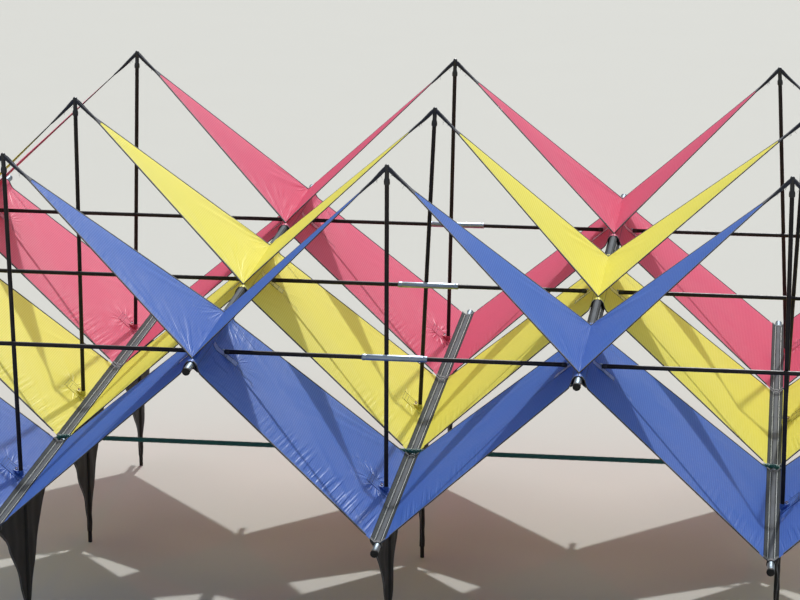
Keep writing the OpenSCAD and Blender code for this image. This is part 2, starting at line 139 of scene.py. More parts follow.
class Graph:
    """Adds nodes to a tree, with their inputs given by name or number, and gives their outputs."""

    def __init__(self, tree):
        self.tree = tree

    def add(self, kind, inputs=None, **props):
        node = self.tree.nodes.new(kind)
        for key, value in props.items():
            setattr(node, key, value)
        for key, value in (inputs or {}).items():
            if isinstance(value, bpy.types.NodeSocket):
                self.tree.links.new(value, node.inputs[key])
            else:
                node.inputs[key].default_value = value
        return node.outputs

    def math(self, operation, *values):
        return self.add("ShaderNodeMath", dict(enumerate(values)), operation=operation)[0]

    def times(self, a, b):
        return self.math("MULTIPLY", a, b)

    def mix(self, factor, a, b):
        return self.add("ShaderNodeMix", {0: factor, 6: a, 7: b}, data_type="RGBA")[2]

    def tint(self, mask, share, colour, other):
        """Turns a colour to another by a share of the mask."""
        return self.mix(self.times(mask, share), colour, other)

    def blend(self, share, first, second):
        return self.add("ShaderNodeMixShader", {0: share, 1: first, 2: second})[0]

    def noise(self, vector, scale, detail, rough):
        return self.add("ShaderNodeTexNoise", {"Vector": vector, "Scale": scale, "Detail": detail,
                                               "Roughness": rough})["Fac"]

    def ramp(self, value, low, high, to_low=0.0, to_high=1.0):
        return self.add("ShaderNodeMapRange", {"Value": value, "From Min": low, "From Max": high,
                                               "To Min": to_low, "To Max": to_high},
                        interpolation_type="SMOOTHSTEP")[0]

    def group(self, tree, **inputs):
        return self.add("ShaderNodeGroup", spaced(inputs), node_tree=tree)

    def put_out(self, **outputs):
        self.add("NodeGroupOutput", outputs)
        return self.tree


def shader_group(name, inputs, outputs):
    """A shader group's graph and its inputs. An input without a value is a vector, the rest are floats."""
    tree = bpy.data.node_groups.new(name, "ShaderNodeTree")
    for socket, value in inputs.items():
        kind = "Vector" if value is None else "Float"
        made = tree.interface.new_socket(socket, in_out="INPUT", socket_type="NodeSocket" + kind)
        if value is not None:
            made.default_value = value
    for socket in outputs:
        tree.interface.new_socket(socket, in_out="OUTPUT", socket_type="NodeSocketFloat")
    g = Graph(tree)
    return g, g.add("NodeGroupInput")


def ripstop_group():
    """Ripstop lines on a metric UV map: strong ones along V, and weak ones across them."""
    g, given = shader_group("ripstop_lines", {"UV": None, "Spacing": 0.0058, "Line Width": 0.0011,
                                              "Cross Share": 0.3}, ["Lines", "Height"])
    parts = g.add("ShaderNodeSeparateXYZ", {0: given["UV"]})
    masks = []
    for axis in "XY":
        share = g.math("PINGPONG", g.math("DIVIDE", parts[axis], given["Spacing"]), 0.5)
        masks.append(g.ramp(g.times(share, given["Spacing"]), given["Line Width"], 0.0))
    cross = g.times(masks[1], given["Cross Share"])
    return g.put_out(Lines=g.math("MAXIMUM", masks[0], cross), Height=g.times(g.math("ADD", *masks), 0.5))


def rib_group():
    """Ribs that run along V of a metric UV map, a given distance apart."""
    g, given = shader_group("woven_ribs", {"UV": None, "Across": 0.002, "Along": 0.0015}, ["Ribs", "Height"])
    parts = g.add("ShaderNodeSeparateXYZ", {0: given["UV"]})
    across, along = (g.math("PINGPONG", g.math("DIVIDE", parts[axis], given[size]), 0.5)
                     for axis, size in (("X", "Across"), ("Y", "Along")))
    ribs = g.ramp(across, 0.06, 0.30)
    return g.put_out(Ribs=ribs, Height=g.math("ADD", ribs, g.times(along, 0.5)))


def wear_group():
    """Faded patches, fine dust and crumple height, all from one point in space."""
    g, given = shader_group("wear_and_dust", {"Point": None, "Patch Scale": 6.0, "Grain Scale": 220.0},
                            ["Patches", "Dust", "Crumple"])
    patches = g.noise(given["Point"], given["Patch Scale"], 4.0, 0.55)
    grain = g.noise(given["Point"], given["Grain Scale"], 2.0, 0.6)
    crumple = g.noise(given["Point"], g.times(given["Patch Scale"], 7.0), 5.0, 0.62)
    return g.put_out(Patches=g.ramp(patches, 0.35, 0.68), Crumple=crumple,
                     Dust=g.times(g.ramp(grain, 0.5, 0.78), g.ramp(patches, 0.3, 0.7)))


def wrinkle_group():
    """Sharp wrinkles. Place holds the distance across them, the distance along them and their strength."""
    g, given = shader_group("cloth_wrinkles", {"Place": None, "Sharpness": 0.18}, ["Height"])
    parts = g.add("ShaderNodeSeparateXYZ", {0: given["Place"]})
    flat = g.add("ShaderNodeCombineXYZ", {0: parts["X"], 1: parts["Y"]})
    waves = g.noise(flat[0], 1.0, 1.6, 0.5)
    ridge = g.ramp(waves, RIDGE_LEVEL, g.math("ADD", given["Sharpness"], RIDGE_LEVEL))
    return g.put_out(Height=g.times(ridge, parts["Z"]))


RIPSTOP, RIBS, WEAR, WRINKLES = ripstop_group(), rib_group(), wear_group(), wrinkle_group()
WRINKLE_ATTRIBUTES = ("hem_wrinkles", "fan_wrinkles")
PALE_DUST = srgb(190, 180, 160)


class Material(Graph):
    def __init__(self, name):
        self.data = bpy.data.materials.new(name)
        self.data.use_nodes = True
        super().__init__(self.data.node_tree)
        self.tree.nodes.clear()
        coord = self.add("ShaderNodeTexCoord")
        self.point, self.uv = coord["Object"], coord["UV"]

    def wear(self, patch_scale, grain_scale):
        return self.group(WEAR, Point=self.point, Patch_Scale=patch_scale, Grain_Scale=grain_scale)

    def bump(self, height, strength, distance):
        return self.add("ShaderNodeBump", {"Strength": strength, "Distance": distance, "Height": height})[0]

    def principled(self, colour, rough, **inputs):
        return self.add("ShaderNodeBsdfPrincipled",
                        {"Base Color": colour, "Roughness": rough, **spaced(inputs)})[0]

    def finish(self, shader):
        self.add("ShaderNodeOutputMaterial", {"Surface": shader})
        return self.data


def ripstop(name, colours, shade):
    """Thin coated cloth that shines and lets light through. Attributes of each sheet place its wrinkles. Its
    ripstop grid is painted lighter, partly as a painted highlight.
    """
    g = Material(name)
    colour, line, deep, glow = colours
    weave = g.group(RIPSTOP, UV=g.uv, Spacing=0.0050, Line_Width=0.0011, Cross_Share=0.35)
    wear = g.wear(5.0, 260.0)
    body = g.tint(wear["Patches"], 0.35, colour, deep)
    # the real ripstop grid, painted in a lighter colour as a painted highlight where its threads catch the
    # light
    grid_with_painted_highlight = g.tint(weave["Lines"], 0.7, body, line)
    dusty = g.tint(wear["Dust"], 0.10, grid_with_painted_highlight, srgb(214, 206, 186))
    rough = g.ramp(wear["Patches"], 0.0, 1.0, 0.46, 0.54)
    height = g.math("ADD", g.times(weave["Height"], 0.10), g.times(wear["Crumple"], 0.9))
    for attribute in WRINKLE_ATTRIBUTES:
        place = g.add("ShaderNodeAttribute", attribute_name=attribute)["Vector"]
        height = g.math("ADD", height, g.group(WRINKLES, Place=place, Sharpness=0.14)["Height"])
    normal = g.bump(height, 1.0, 0.001)
    cloth = g.principled(dusty, 0.7, Specular_IOR_Level=0.0, Normal=normal)
    through = g.add("ShaderNodeBsdfTranslucent", {"Color": glow})[0]
    shine = g.add("ShaderNodeBsdfGlossy", {"Color": (1, 1, 1, 1), "Roughness": rough, "Normal": normal})[0]
    coated = g.blend(0.05, g.blend(0.28, cloth, through), shine)
    # a little coloured light passes into the cloth's own shadow
    passed = g.add("ShaderNodeBsdfTransparent", {"Color": shade})[0]
    return g.finish(g.blend(g.add("ShaderNodeLightPath")["Is Shadow Ray"], coated, passed))


def woven(name, colours, across, along, rough, depth, sheen=0.2, dust=0.12):
    """Tape, webbing, fin cloth and rope: ribs along the piece, with wear and dust."""
    g = Material(name)
    colour, deep = colours
    ribs = g.group(RIBS, UV=g.uv, Across=across, Along=along)
    wear = g.wear(14.0, 420.0)
    faded = g.tint(wear["Patches"], 0.25, g.mix(ribs["Ribs"], deep, colour), deep)
    dusty = g.tint(wear["Dust"], dust, faded, PALE_DUST)
    height = g.math("ADD", ribs["Height"], g.times(wear["Crumple"], 0.8))
    return g.finish(g.principled(dusty, rough, Sheen_Weight=sheen, Sheen_Roughness=0.4,
                                 Normal=g.bump(height, 0.7, depth)))


def sleeve_cloth(name, colours):
    """Sleeve: lengthwise bands by the distance from the ridge, which UV X gives in metres. The ridge band
    over the tube is a painted highlight, and the dark bands beside it are painted shade in the seam grooves.
    """
    g = Material(name)
    # ridge: lighter, a painted highlight on the lit top over the tube; groove: near black, painted shade in
    # the seam grooves, also used for darker ribs and faded patches
    ridge, groove, flange, edge = colours
    ribs = g.group(RIBS, UV=g.uv, Across=0.0021, Along=0.0016)
    wear = g.wear(14.0, 420.0)
    side = g.math("ABSOLUTE", g.add("ShaderNodeSeparateXYZ", {0: g.uv})["X"])
    # painted shade: two near-black bands in the seam grooves on each side of the ridge
    groove_shade_bands = [g.times(g.ramp(side, a, a + 0.0006), g.ramp(side, b, b - 0.0006))
               for a, b in ((0.0044, 0.0068), (0.0082, 0.0108))]
    # painted highlight: the ridge band over the tube is lighter than the flanges
    body = g.mix(g.ramp(side, 0.0078, 0.0092), ridge, flange)
    body = g.tint(ribs["Ribs"], 0.25, body, groove)
    # the groove bands take the near-black painted shade colour
    body = g.mix(g.math("MAXIMUM", *groove_shade_bands), body, groove)
    body = g.mix(g.ramp(side, 0.0168, 0.0176), body, edge)
    faded = g.tint(wear["Patches"], 0.3, body, groove)
    dusty = g.tint(wear["Dust"], 0.12, faded, PALE_DUST)
    height = g.math("ADD", g.times(ribs["Height"], 0.4), g.times(wear["Crumple"], 0.8))
    return g.finish(g.principled(dusty, 0.75, Specular_IOR_Level=0.1, Normal=g.bump(height, 0.6, 0.0006)))


def drawn_metal(name, colours, rough_low, rough_high, streak=(1.0, 1.0, 1.0)):
    """Tube with fine marks, stretched by streak along its axis."""
    g = Material(name)
    scaled = g.add("ShaderNodeMapping", {"Vector": g.point, "Scale": streak})[0]
    marks = g.noise(scaled, 900.0, 3.0, 0.6)
    body = g.tint(g.wear(18.0, 500.0)["Patches"], 0.5, *colours)
    rough = g.ramp(marks, 0.3, 0.7, rough_low, rough_high)
    return g.finish(g.principled(body, rough, Metallic=1.0, Normal=g.bump(marks, 0.25, 0.0002)))


def moulded(name, colours, rough_low, rough_high, grain=600.0, shine=0.5):
    g = Material(name)
    wear = g.wear(25.0, grain)
    dusty = g.tint(wear["Dust"], 0.15, g.tint(wear["Patches"], 0.4, *colours), srgb(185, 175, 155))
    rough = g.ramp(wear["Crumple"], 0.3, 0.7, rough_low, rough_high)
    return g.finish(g.principled(dusty, rough, Specular_IOR_Level=shine,
                                 Normal=g.bump(wear["Crumple"], 0.2, 0.0003)))


LOOKS = (
    # ripstop colours: cloth, grid painted lighter as a painted highlight, faded patches, translucent light;
    # then the light passed into shadow
    (ripstop, "blue_ripstop", ((54, 101, 178), (88, 134, 202), (47, 90, 168), (40, 96, 230)),
     (0.03, 0.07, 0.20, 1)),
    (ripstop, "yellow_ripstop", ((230, 224, 84), (244, 241, 136), (220, 212, 68), (240, 220, 50)),
     (0.17, 0.14, 0.03, 1)),
    (ripstop, "pink_ripstop", ((216, 84, 120), (232, 122, 148), (204, 68, 104), (236, 40, 80)),
     (0.22, 0.04, 0.05, 1)),
    (woven, "hem_tape", ((31, 34, 42), (15, 17, 21)), 0.0012, 0.0022, 0.7, 0.0003),
    (woven, "black_fin_cloth", ((34, 31, 27), (24, 22, 19)), 0.0029, 0.0029, 0.8, 0.0002, 0.0, 0.05),
    (woven, "black_webbing", ((32, 37, 56), (11, 13, 21)), 0.0024, 0.0016, 0.7, 0.0008),
    # sleeve colours: ridge with a painted highlight, near-black groove for painted shade, flange, edge
    # binding
    (sleeve_cloth, "sleeve_cloth", ((90, 94, 98), (15, 17, 19), (63, 69, 70), (30, 33, 36))),
    (moulded, "dark_spar", ((27, 22, 23), (42, 35, 34)), 0.34, 0.5, 900.0, 0.22),
    (drawn_metal, "ferrule_metal", ((154, 166, 178), (128, 140, 152)), 0.32, 0.5, (0.04, 1, 1)),
    (drawn_metal, "longeron_metal", ((116, 128, 137), (84, 94, 101)), 0.3, 0.5, (1, 0.04, 1)),
    (moulded, "black_rubber", ((24, 24, 27), (40, 40, 43)), 0.32, 0.5),
    (moulded, "black_plastic", ((9, 9, 10), (16, 16, 18)), 0.5, 0.65, 600.0, 0.25),
    (moulded, "grey_plastic", ((122, 130, 136), (98, 106, 112)), 0.4, 0.6),
    (woven, "green_rope", ((14, 118, 100), (6, 74, 66)), 0.0011, 0.0022, 0.42, 0.0006, 0.4, 0.05),
    (moulded, "white_thread", ((214, 218, 212), (180, 184, 178)), 0.5, 0.7),
    (moulded, "dark_thread", ((34, 40, 62), (50, 56, 80)), 0.5, 0.7),
    (drawn_metal, "copper_ring", ((196, 128, 104), (160, 96, 80)), 0.2, 0.35),
    *((woven, key + "_strap", (light, light), 0.0029, 0.0029, 0.55, 0.0002)
      for key, light in zip(CLOTH, ((62, 102, 170), (222, 214, 92), (208, 88, 120)))),
)
MATERIALS = {name: make(name, [srgb(*c) for c in colours], *rest) for make, name, colours, *rest in LOOKS}


# ---- mesh tools ----

def new_object(name, data):
    obj = bpy.data.objects.new(name, data)
    bpy.context.scene.collection.objects.link(obj)
    return obj


def add_piece(name, mesh, material, nodes=()):
    obj = new_object(name, mesh)
    mesh.materials.clear()
    mesh.materials.append(MATERIALS[material])
    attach(obj, "root")
    if nodes:
        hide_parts(*nodes)
    return obj


class Batch:
    """Collects shells with a UV for each vertex, and makes one piece of them."""

    def __init__(self):
        self.verts, self.faces, self.uvs, self.count = [], [], [], 0
        self.wrinkles = ()

    def add(self, verts, faces, uvs):
        self.verts.append(verts.reshape(-1, 3))
        self.uvs.append(uvs.reshape(-1, 2))
        self.faces.extend([tuple(k + self.count for k in f) for f in faces])
        self.count += len(self.verts[-1])

    def piece(self, name, material, *nodes, slot=None, sharp=40.0):
        """Makes the piece. Its slot argument is not used."""
        mesh = bpy.data.meshes.new(name)
        mesh.from_pydata(np.concatenate(self.verts).tolist(), [], self.faces)
        layer = mesh.uv_layers.new(name="UVMap")
        index = np.empty(len(mesh.loops), np.int32)
        mesh.loops.foreach_get("vertex_index", index)
        layer.data.foreach_set("uv", np.concatenate(self.uvs)[index].astype(np.float32).ravel())
        for attribute, values in zip(WRINKLE_ATTRIBUTES, self.wrinkles):
            made = mesh.attributes.new(attribute, "FLOAT_VECTOR", "POINT")
            made.data.foreach_set("vector", values.astype(np.float32).ravel())
        bm = bmesh.new()
        bm.from_mesh(mesh)
        bmesh.ops.recalc_face_normals(bm, faces=bm.faces)
        bm.to_mesh(mesh)
        bm.free()
        mesh.shade_smooth()
        mesh.set_sharp_from_angle(angle=math.radians(sharp))
        return add_piece(name, mesh, material, nodes)


def grid_faces(rows, cols, wrap=False):
    faces = []
    for a in range(rows - 1):
        for b in range(cols if wrap else cols - 1):
            c = (b + 1) % cols
            faces.append((a * cols + b, a * cols + c, (a + 1) * cols + c, (a + 1) * cols + b))
    return faces


def add_rings(batch, verts, around, along, turn=0.0, hollow=False):
    """Joins a row of rings. Both ends are closed or, when hollow, the last ring is joined to the first.

    UV X is the distance around, turned by a share of the distance along, and UV Y is the distance along.
    """
    rows, cols = verts.shape[:2]
    total = rows * cols
    if hollow:
        faces = [tuple(k % total for k in f) for f in grid_faces(rows + 1, cols, True)]
    else:
        ends = [tuple(range(cols - 1, -1, -1)), tuple(range(total - cols, total))]
        faces = grid_faces(rows, cols, True) + ends
    along = np.repeat(along, cols)
    batch.add(verts, faces, np.stack([np.tile(around, rows) + along * turn, along], 1))


def circle(sides):
    angle = np.linspace(0, 2 * math.pi, sides, endpoint=False)
    return angle, np.cos(angle)[:, None], np.sin(angle)[:, None]


def lathe(batch, start, end, profile, sides=24, hollow=False):
    """Turns (distance, radius) pairs about the line from start towards end. A hollow profile is a loop."""
    start, end = np.array(start, float), np.array(end, float)
    axis = unit(end - start)
    p = unit(np.cross(axis, [0, 0, 1.0] if abs(axis[2]) < 0.9 else [1.0, 0, 0]))
    q = np.cross(axis, p)
    angle, cos, sin = circle(sides)
    ring = cos * p + sin * q
    verts = np.stack([start + axis * t + ring * r for t, r in profile])
    add_rings(batch, verts, angle, [t for t, r in profile], hollow=hollow)


def tube_profile(length, outer, inner, edge=0.0004):
    return [(0, inner + edge / 2), (0, outer - edge), (edge, outer), (length - edge, outer),
            (length, outer - edge), (length, inner + edge / 2), (length - edge, inner), (edge, inner)]


def spar_profile(length):
    return tube_profile(length, SPAR_R, SPAR_R - SPAR_WALL)


def sweep(batch, path, sides, radius, normal=(0, 1, 0), squash=1.0, uv_turn=0.0):
    """A round strand along a path. radius is a number or one for each point."""
    path = np.asarray(path, float)
    tangent = unit(np.gradient(path, axis=0))
    across = unit(np.cross(tangent, normal))
    up = np.cross(across, tangent)
    radius = np.broadcast_to(radius, (len(path),))
    angle, cos, sin = circle(sides)
    verts = path[:, None] + radius[:, None, None] * (cos * across[:, None] + squash * sin * up[:, None])
    add_rings(batch, verts, angle * float(radius.mean()), run_along(path), uv_turn)


class Sheet:
    """A cloth surface on a grid, with its normals and metric UVs. It is looked up by its own lengths."""

    def __init__(self, points, lengths, across, shares=None, facing=(0, 0, 1)):
        self.p = points
        self.lengths = lengths
        self.across = across
        self.shares = np.linspace(0, 1, points.shape[1]) if shares is None else shares
        self.n = unit(np.cross(np.gradient(points, axis=0), np.gradient(points, axis=1)))
        if np.sum(self.n * facing) < 0:
            self.n = -self.n

    def at(self, u, y):
        """Point and normal at a distance u along the sheet and a place y across it, from the row's middle."""
        u, y = np.broadcast_arrays(np.asarray(u, float), np.asarray(y, float))
        a = np.interp(u, self.lengths, np.arange(len(self.lengths)))
        low = np.clip(a.astype(int), 0, len(self.lengths) - 2)
        fa = (a - low)[..., None]
        row = self.across[low] * (1 - fa) + self.across[low + 1] * fa
        share = (y - row[..., 0]) / (row[..., -1] - row[..., 0])
        b = np.interp(share, self.shares, np.arange(len(self.shares)))
        lob = np.clip(b.astype(int), 0, self.across.shape[1] - 2)
        fb = (b - lob)[..., None]
        out = []
        for field in (self.p, self.n):
            near = field[low, lob] * (1 - fb) + field[low, lob + 1] * fb
            far = field[low + 1, lob] * (1 - fb) + field[low + 1, lob + 1] * fb
            out.append(near * (1 - fa) + far * fa)
        return out[0], unit(out[1])

    def shell(self, batch, thick=0.0006, wrinkles=()):
        rows, cols = self.p.shape[:2]
        count = rows * cols
        uv = np.stack([np.repeat(self.lengths[:, None], cols, 1), self.across], axis=2)
        faces = grid_faces(rows, cols)
        faces += [tuple(count + k for k in reversed(f)) for f in faces]
        border = ([(a * cols, (a + 1) * cols) for a in range(rows - 1)] +
                  [((a + 1) * cols + cols - 1, a * cols + cols - 1) for a in range(rows - 1)] +
                  [(b + 1, b) for b in range(cols - 1)] +
                  [((rows - 1) * cols + b, (rows - 1) * cols + b + 1) for b in range(cols - 1)])
        faces += [(a, b, b + count, a + count) for a, b in border]
        half = self.n * thick / 2
        batch.add(np.stack([self.p + half, self.p - half]), faces, np.stack([uv, uv]))
        batch.wrinkles = [np.concatenate([w.reshape(-1, 3)] * 2) for w in wrinkles]


def bind_edges(batch, sheet, thick, rows=slice(None), ripple=0.0):
    """Folds a tape round the front and back edges of a sheet."""
    half, lip, outside = thick / 2, 0.0007, 0.0006
    section = [(-outside, -half + lip), (-outside, half - lip), (-outside + lip, half), (HEM_W - lip, half),
               (HEM_W, half - lip), (HEM_W, -half + lip), (HEM_W - lip, -half), (-outside + lip, -half)]
    around = [0.0, 0.001, 0.0015, 0.0065, 0.007, 0.008, 0.0085, 0.0135]
    for side, inner in ((0, 1), (-1, -2)):
        line, normal = sheet.p[rows, side], sheet.n[rows, side]
        inward = unit(sheet.p[rows, inner] - line)
        along = unit(np.gradient(line, axis=0))
        inward = unit(inward - along * np.sum(inward * along, 1)[:, None])
        line = line - inward * (ripple * (np.arange(len(line)) % 2))[:, None]
        verts = np.stack([line + inward * a + normal * b for a, b in section], axis=1)
        add_rings(batch, verts, around, run_along(line))


def crease(u, y, a, b, width, height, lean):
    """A fold that runs from a to b. It is highest at a quarter of its length and dies out at both ends."""
    a, b = np.array(a, float), np.array(b, float)
    along = b - a
    length = np.hypot(*along)
    along /= length
    du, dy = u - a[0], y - a[1]
    t = (du * along[0] + dy * along[1]) / length
    off = du * -along[1] + dy * along[0]
    spread = width * (0.55 + 0.9 * np.clip(t, 0, 1.2))
    shape = np.exp(-(off / spread) ** 2) - lean * np.exp(-((off - spread * 1.6) / spread) ** 2)
    return height * shape * (smooth(-0.02, 0.12, t) * (1 - smooth(0.65, 1.05, t)))


def hem_wrinkles(u, y, half, front, back, depth, seed):
    """Place of short wrinkles square to both hems. front and back are their strengths."""
    inside = half - np.abs(y)
    strength = np.where(y < 0, front, back)
    fade = strength * smooth(0.002, 0.035, inside) * (1 - smooth(0.25 * depth, depth, inside))
    across = (u + 0.12 * inside) / HEM_WAVE + np.where(y < 0, 0, 57) + seed
    return np.stack([across, inside / HEM_RUN, fade], -1)


def fan_wrinkles(u, y, fans, seed):
    """Place of wrinkles that spread from points. Each fan is: u, y, start, end, strength."""
    best = np.zeros(u.shape + (3,))
    for k, (u0, y0, near, far, strength) in enumerate(fans):
        r = np.hypot(u - u0, y - y0)
        fade = strength * smooth(0.6 * near, near, r) * (1 - smooth(0.45 * far, far, r))
        turn = np.arctan2(y - y0, u - u0 + 1e-9)
        turn = np.where(turn < -2.6, turn + 2 * math.pi, turn)
        place = np.stack([turn / FAN_WAVE + 31 * k + seed, r / FAN_RUN, fade], -1)
        best = np.where((fade > best[..., 2])[..., None], place, best)
    return best


def hem_spaced(count):
    """Shares from 0 to 1, closer together at both hems."""
    t = np.linspace(0, 1, count)
    return t - 0.08 * np.sin(2 * math.pi * t)


# ---- lower sheets ----

def lower_path():
    """Section of a lower sheet: up the slope, and over the side longeron's sleeve to the crease."""
    points = []
    for u in np.concatenate([np.linspace(RING_R + SEAT, LOWER_LEN - 0.034, LOWER_STEPS),
                             np.linspace(LOWER_LEN - 0.030, LOWER_LEN, 10)]):
        rise = SLEEVE_LIFT * float(1 - smooth(0.003, 0.030, LOWER_LEN - u))
        points.append((u * COS_A - rise * SIN_A, u * SIN_A + rise * COS_A))
    for a in np.linspace(LOWER_A, math.radians(4), 5)[1:]:
        points.append((HALF - SLEEVE_LIFT * math.sin(a), SIDE_H + SLEEVE_LIFT * math.cos(a)))
    return np.array(points), RING_R + SEAT + run_along(points)


LOWER_PATH, LOWER_RUN = lower_path()
LOWER_END = float(LOWER_RUN[-1])
LOWER_NORMAL = unit(np.stack([-np.gradient(LOWER_PATH[:, 1]), np.gradient(LOWER_PATH[:, 0])], 1))
LOWER_SHARES, WING_SHARES = hem_spaced(45), hem_spaced(29)
# How creased each lower sheet is, by row, bay and side. The others have the value 1.
CREASED = {(0, 1, -1): 1.6, (0, 2, -1): 0.4, (0, 2, 1): 0.6, (1, 2, -1): 0.5, (2, 2, -1): 0.4}
LOWER, WINGS = {}, {}


def lower_relief(u, y, rng, has_pocket, strength):
    """Height of the cloth over its flat cut."""
    width = CELL_L / 2
    hem = width - LOWER_INSET * np.clip(u / LOWER_LEN, 0, 1)
    h = 0.0026 * np.sin(np.pi * np.clip(u / LOWER_LEN, 0, 1)) * (1 - (y / hem) ** 2)
    for side in (-1, 1):
        for k in range(3):
            far = (rng.uniform(0.25, 0.50), side * (width - 0.08 - 0.10 * k + rng.uniform(-0.02, 0.02)))
            height = strength * rng.uniform(0.0005, 0.0011)
            h = h + crease(u, y, (0.022, side * (width - 0.014)), far, 0.0085, height, 0.5)
            corner = (LOWER_LEN - 0.016, side * (width - LOWER_INSET - 0.014))
            far = (LOWER_LEN - rng.uniform(0.14, 0.28), side * (width - 0.11 - 0.075 * k))
            h = h + crease(u, y, corner, far, 0.0080, strength * rng.uniform(0.0005, 0.0010), 0.5)
    for k in range(7 if has_pocket else 0):
        turn = math.radians(-90 + 30 * k + rng.uniform(-8, 8))
        run = rng.uniform(0.05, 0.13)
        near = (0.075, 0.024 * math.sin(turn))
        far = (0.09 + run * math.cos(turn), 0.004 + run * math.sin(turn))
        h = h + crease(u, y, near, far, 0.0080, strength * rng.uniform(0.0005, 0.0010), 0.4)
    hold = smooth(FLANGE_W, FLANGE_W + 0.030, u) * smooth(0.022, 0.060, LOWER_END - u)
    return h * hold * smooth(0.0, 0.012, hem - np.abs(y))


def make_lower_sheet(r, i, d):
    rng = np.random.default_rng(100 + 20 * r + 4 * i + (d > 0))
    strength = CREASED.get((r, i, d), 1.0)
    front = -CELL_L / 2 + LOWER_INSET * np.clip(LOWER_RUN / LOWER_LEN, 0, 1)
    across = front[:, None] + (-2 * front)[:, None] * LOWER_SHARES
    u = np.repeat(LOWER_RUN[:, None], len(LOWER_SHARES), 1)
    h = lower_relief(u, across, rng, d == HAND[i], strength)
    h = h + SEAM_STEP * (1 - smooth(0.0185, 0.0205, LOWER_END - u))
    x, z = (LOWER_PATH[:, k][:, None] + LOWER_NORMAL[:, k][:, None] * h for k in (0, 1))
    points = np.stack([BOTTOM_X[i] + d * x, MID_Y[r] + across, KEEL_H + z], 2)
    sheet = LOWER[r, i, d] = Sheet(points, LOWER_RUN, across, LOWER_SHARES)
    low = 1 - 0.85 * smooth(0.10, 0.34, u)
    high = smooth(LOWER_LEN - 0.16, LOWER_LEN - 0.03, u)
    corner = CELL_L / 2 - LOWER_INSET
    fans = [(LOWER_LEN - 0.078, CROSS_Y, 0.016, 0.095, 0.6 * strength),
            (LOWER_LEN, -corner, 0.03, 0.15, 0.45 * strength),
            (LOWER_LEN, corner, 0.03, 0.17, 0.6 * strength)]
    if d == HAND[i]:
        fans.append((0.062, 0.0, 0.026, 0.085, (2.2 if (r, i) == (2, 1) else 0.9) * strength))
    gather = (0.5 if r == 0 else 0.22) * strength
    batch = Batch()
    sheet.shell(batch, wrinkles=(
        hem_wrinkles(u, across, -front[:, None], gather * (2.0 * low + 0.1), gather * (0.15 + 0.4 * high),
                     0.19, 11 * r + 5 * i + d),
        fan_wrinkles(u, across, fans, 7 * r + 3 * i + d)))
    side = "right" if d > 0 else "left"
    piece = batch.piece(f"{ROWS[r]}_lower_sheet_{BAY_NAMES[i]}_{side}", CLOTH[r],
                        f"{ROWS[r]}_lower_sheets", sharp=60)


# ---- upper sheets ----

def wing_half(w, length):
    """Half the width of a wing at a distance w up from the side longeron."""
    return WING_BASE + (POINT_HALF - WING_BASE) * w / (length - WEBBING_L)


def wing_relief(w, y, length, rng):
    """w runs up from the side longeron to the mast's tip."""
    end = length - WEBBING_L
    half = np.maximum(wing_half(w, length), POINT_HALF)
    h = 0.0028 * np.sin(np.pi * np.clip(w / end, 0, 1)) * (1 - np.clip(np.abs(y) / half, 0, 1) ** 2)
    for side in (-1, 1):
        for n in range(3):
            far = (rng.uniform(0.12, 0.28), side * (WING_BASE * (0.66 - 0.3 * n)))
            near = (0.006, side * (WING_BASE - 0.012))
            h = h + crease(w, y, near, far, 0.0080, rng.uniform(0.0010, 0.0020), 0.5)
    hold = smooth(0.0, 0.030, w) * (1 - smooth(end - 0.07, end - 0.02, w))
    return h * hold * smooth(0.0, 0.010, half - np.abs(y))


def half_wing(r, j, i, d, rng):
    """Rows of points from side longeron j up to the mast of bay i. d is -1 on a wing that rises leftwards."""
    ux, uz, length = wing_slope(r, i, d)
    w = np.linspace(0, 1, WING_STEPS) ** 1.1 * (length - WEBBING_L + 0.002)
    y = wing_half(w, length)[:, None] * (2 * WING_SHARES - 1)
    ww = np.repeat(w[:, None], len(WING_SHARES), 1)
    h = wing_relief(ww, y, length, rng)
    x = SIDE_X[j] + d * (ww * ux - h * uz)
    z = WING_Z + WING_LIFT + ww * uz + h * ux
    return np.stack([x, y, z], 2), w, y


def make_wing(r, j):
    """The cloth over side longeron j: two wings with a crease between them, or one at the outer longerons."""
    rng = np.random.default_rng(700 + 20 * r + j)
    parts = [(d, *half_wing(r, j, i, d, rng)) for d, i in ((-1, j - 1), (1, j)) if 0 <= i < BAYS]
    rows = []
    for d, p, w, y in parts:
        rows.append([a[::-1] if d < 0 else a[len(rows):] for a in (p, w * d, y)])
    points, runs, ys = (np.concatenate(part) for part in zip(*rows))
    points[..., 1] += MID_Y[r]
    sheet = WINGS[r, j] = Sheet(points, runs, ys, WING_SHARES)
    up = np.repeat(np.abs(runs)[:, None], ys.shape[1], 1)
    strength = 0.6 if j == 2 else 1.0
    fans = [(0.0, -WING_BASE, 0.02, 0.28, 0.75 * strength), (0.0, WING_BASE, 0.03, 0.15, 0.45 * strength),
            (float(up.max()), 0.0, 0.06, 0.24, 0.45)]
    batch = Batch()
    sheet.shell(batch, wrinkles=(
        hem_wrinkles(runs[:, None] + 0 * ys, ys, ys[:, -1:], 0.4 * strength, 0.25 * strength,
                     0.05, 5 * r + j),
        fan_wrinkles(up, ys, fans, 3 * r + j)))
    row = ROWS[r]
    piece = batch.piece(f"{row}_upper_sheet_{j + 1}", CLOTH[r], f"{row}_upper_sheets", sharp=30)


def make_hems(r):
    batch = Batch()
    for key, sheet in LOWER.items():
        if key[0] == r:
            bind_edges(batch, sheet, 0.0019, slice(4, -3))
    for key, sheet in WINGS.items():
        if key[0] == r:
            bind_edges(batch, sheet, 0.0019)
    batch.piece(f"{ROWS[r]}_hem_tapes", "hem_tape", f"{ROWS[r]}_hems", sharp=50)


# ---- keel fins ----

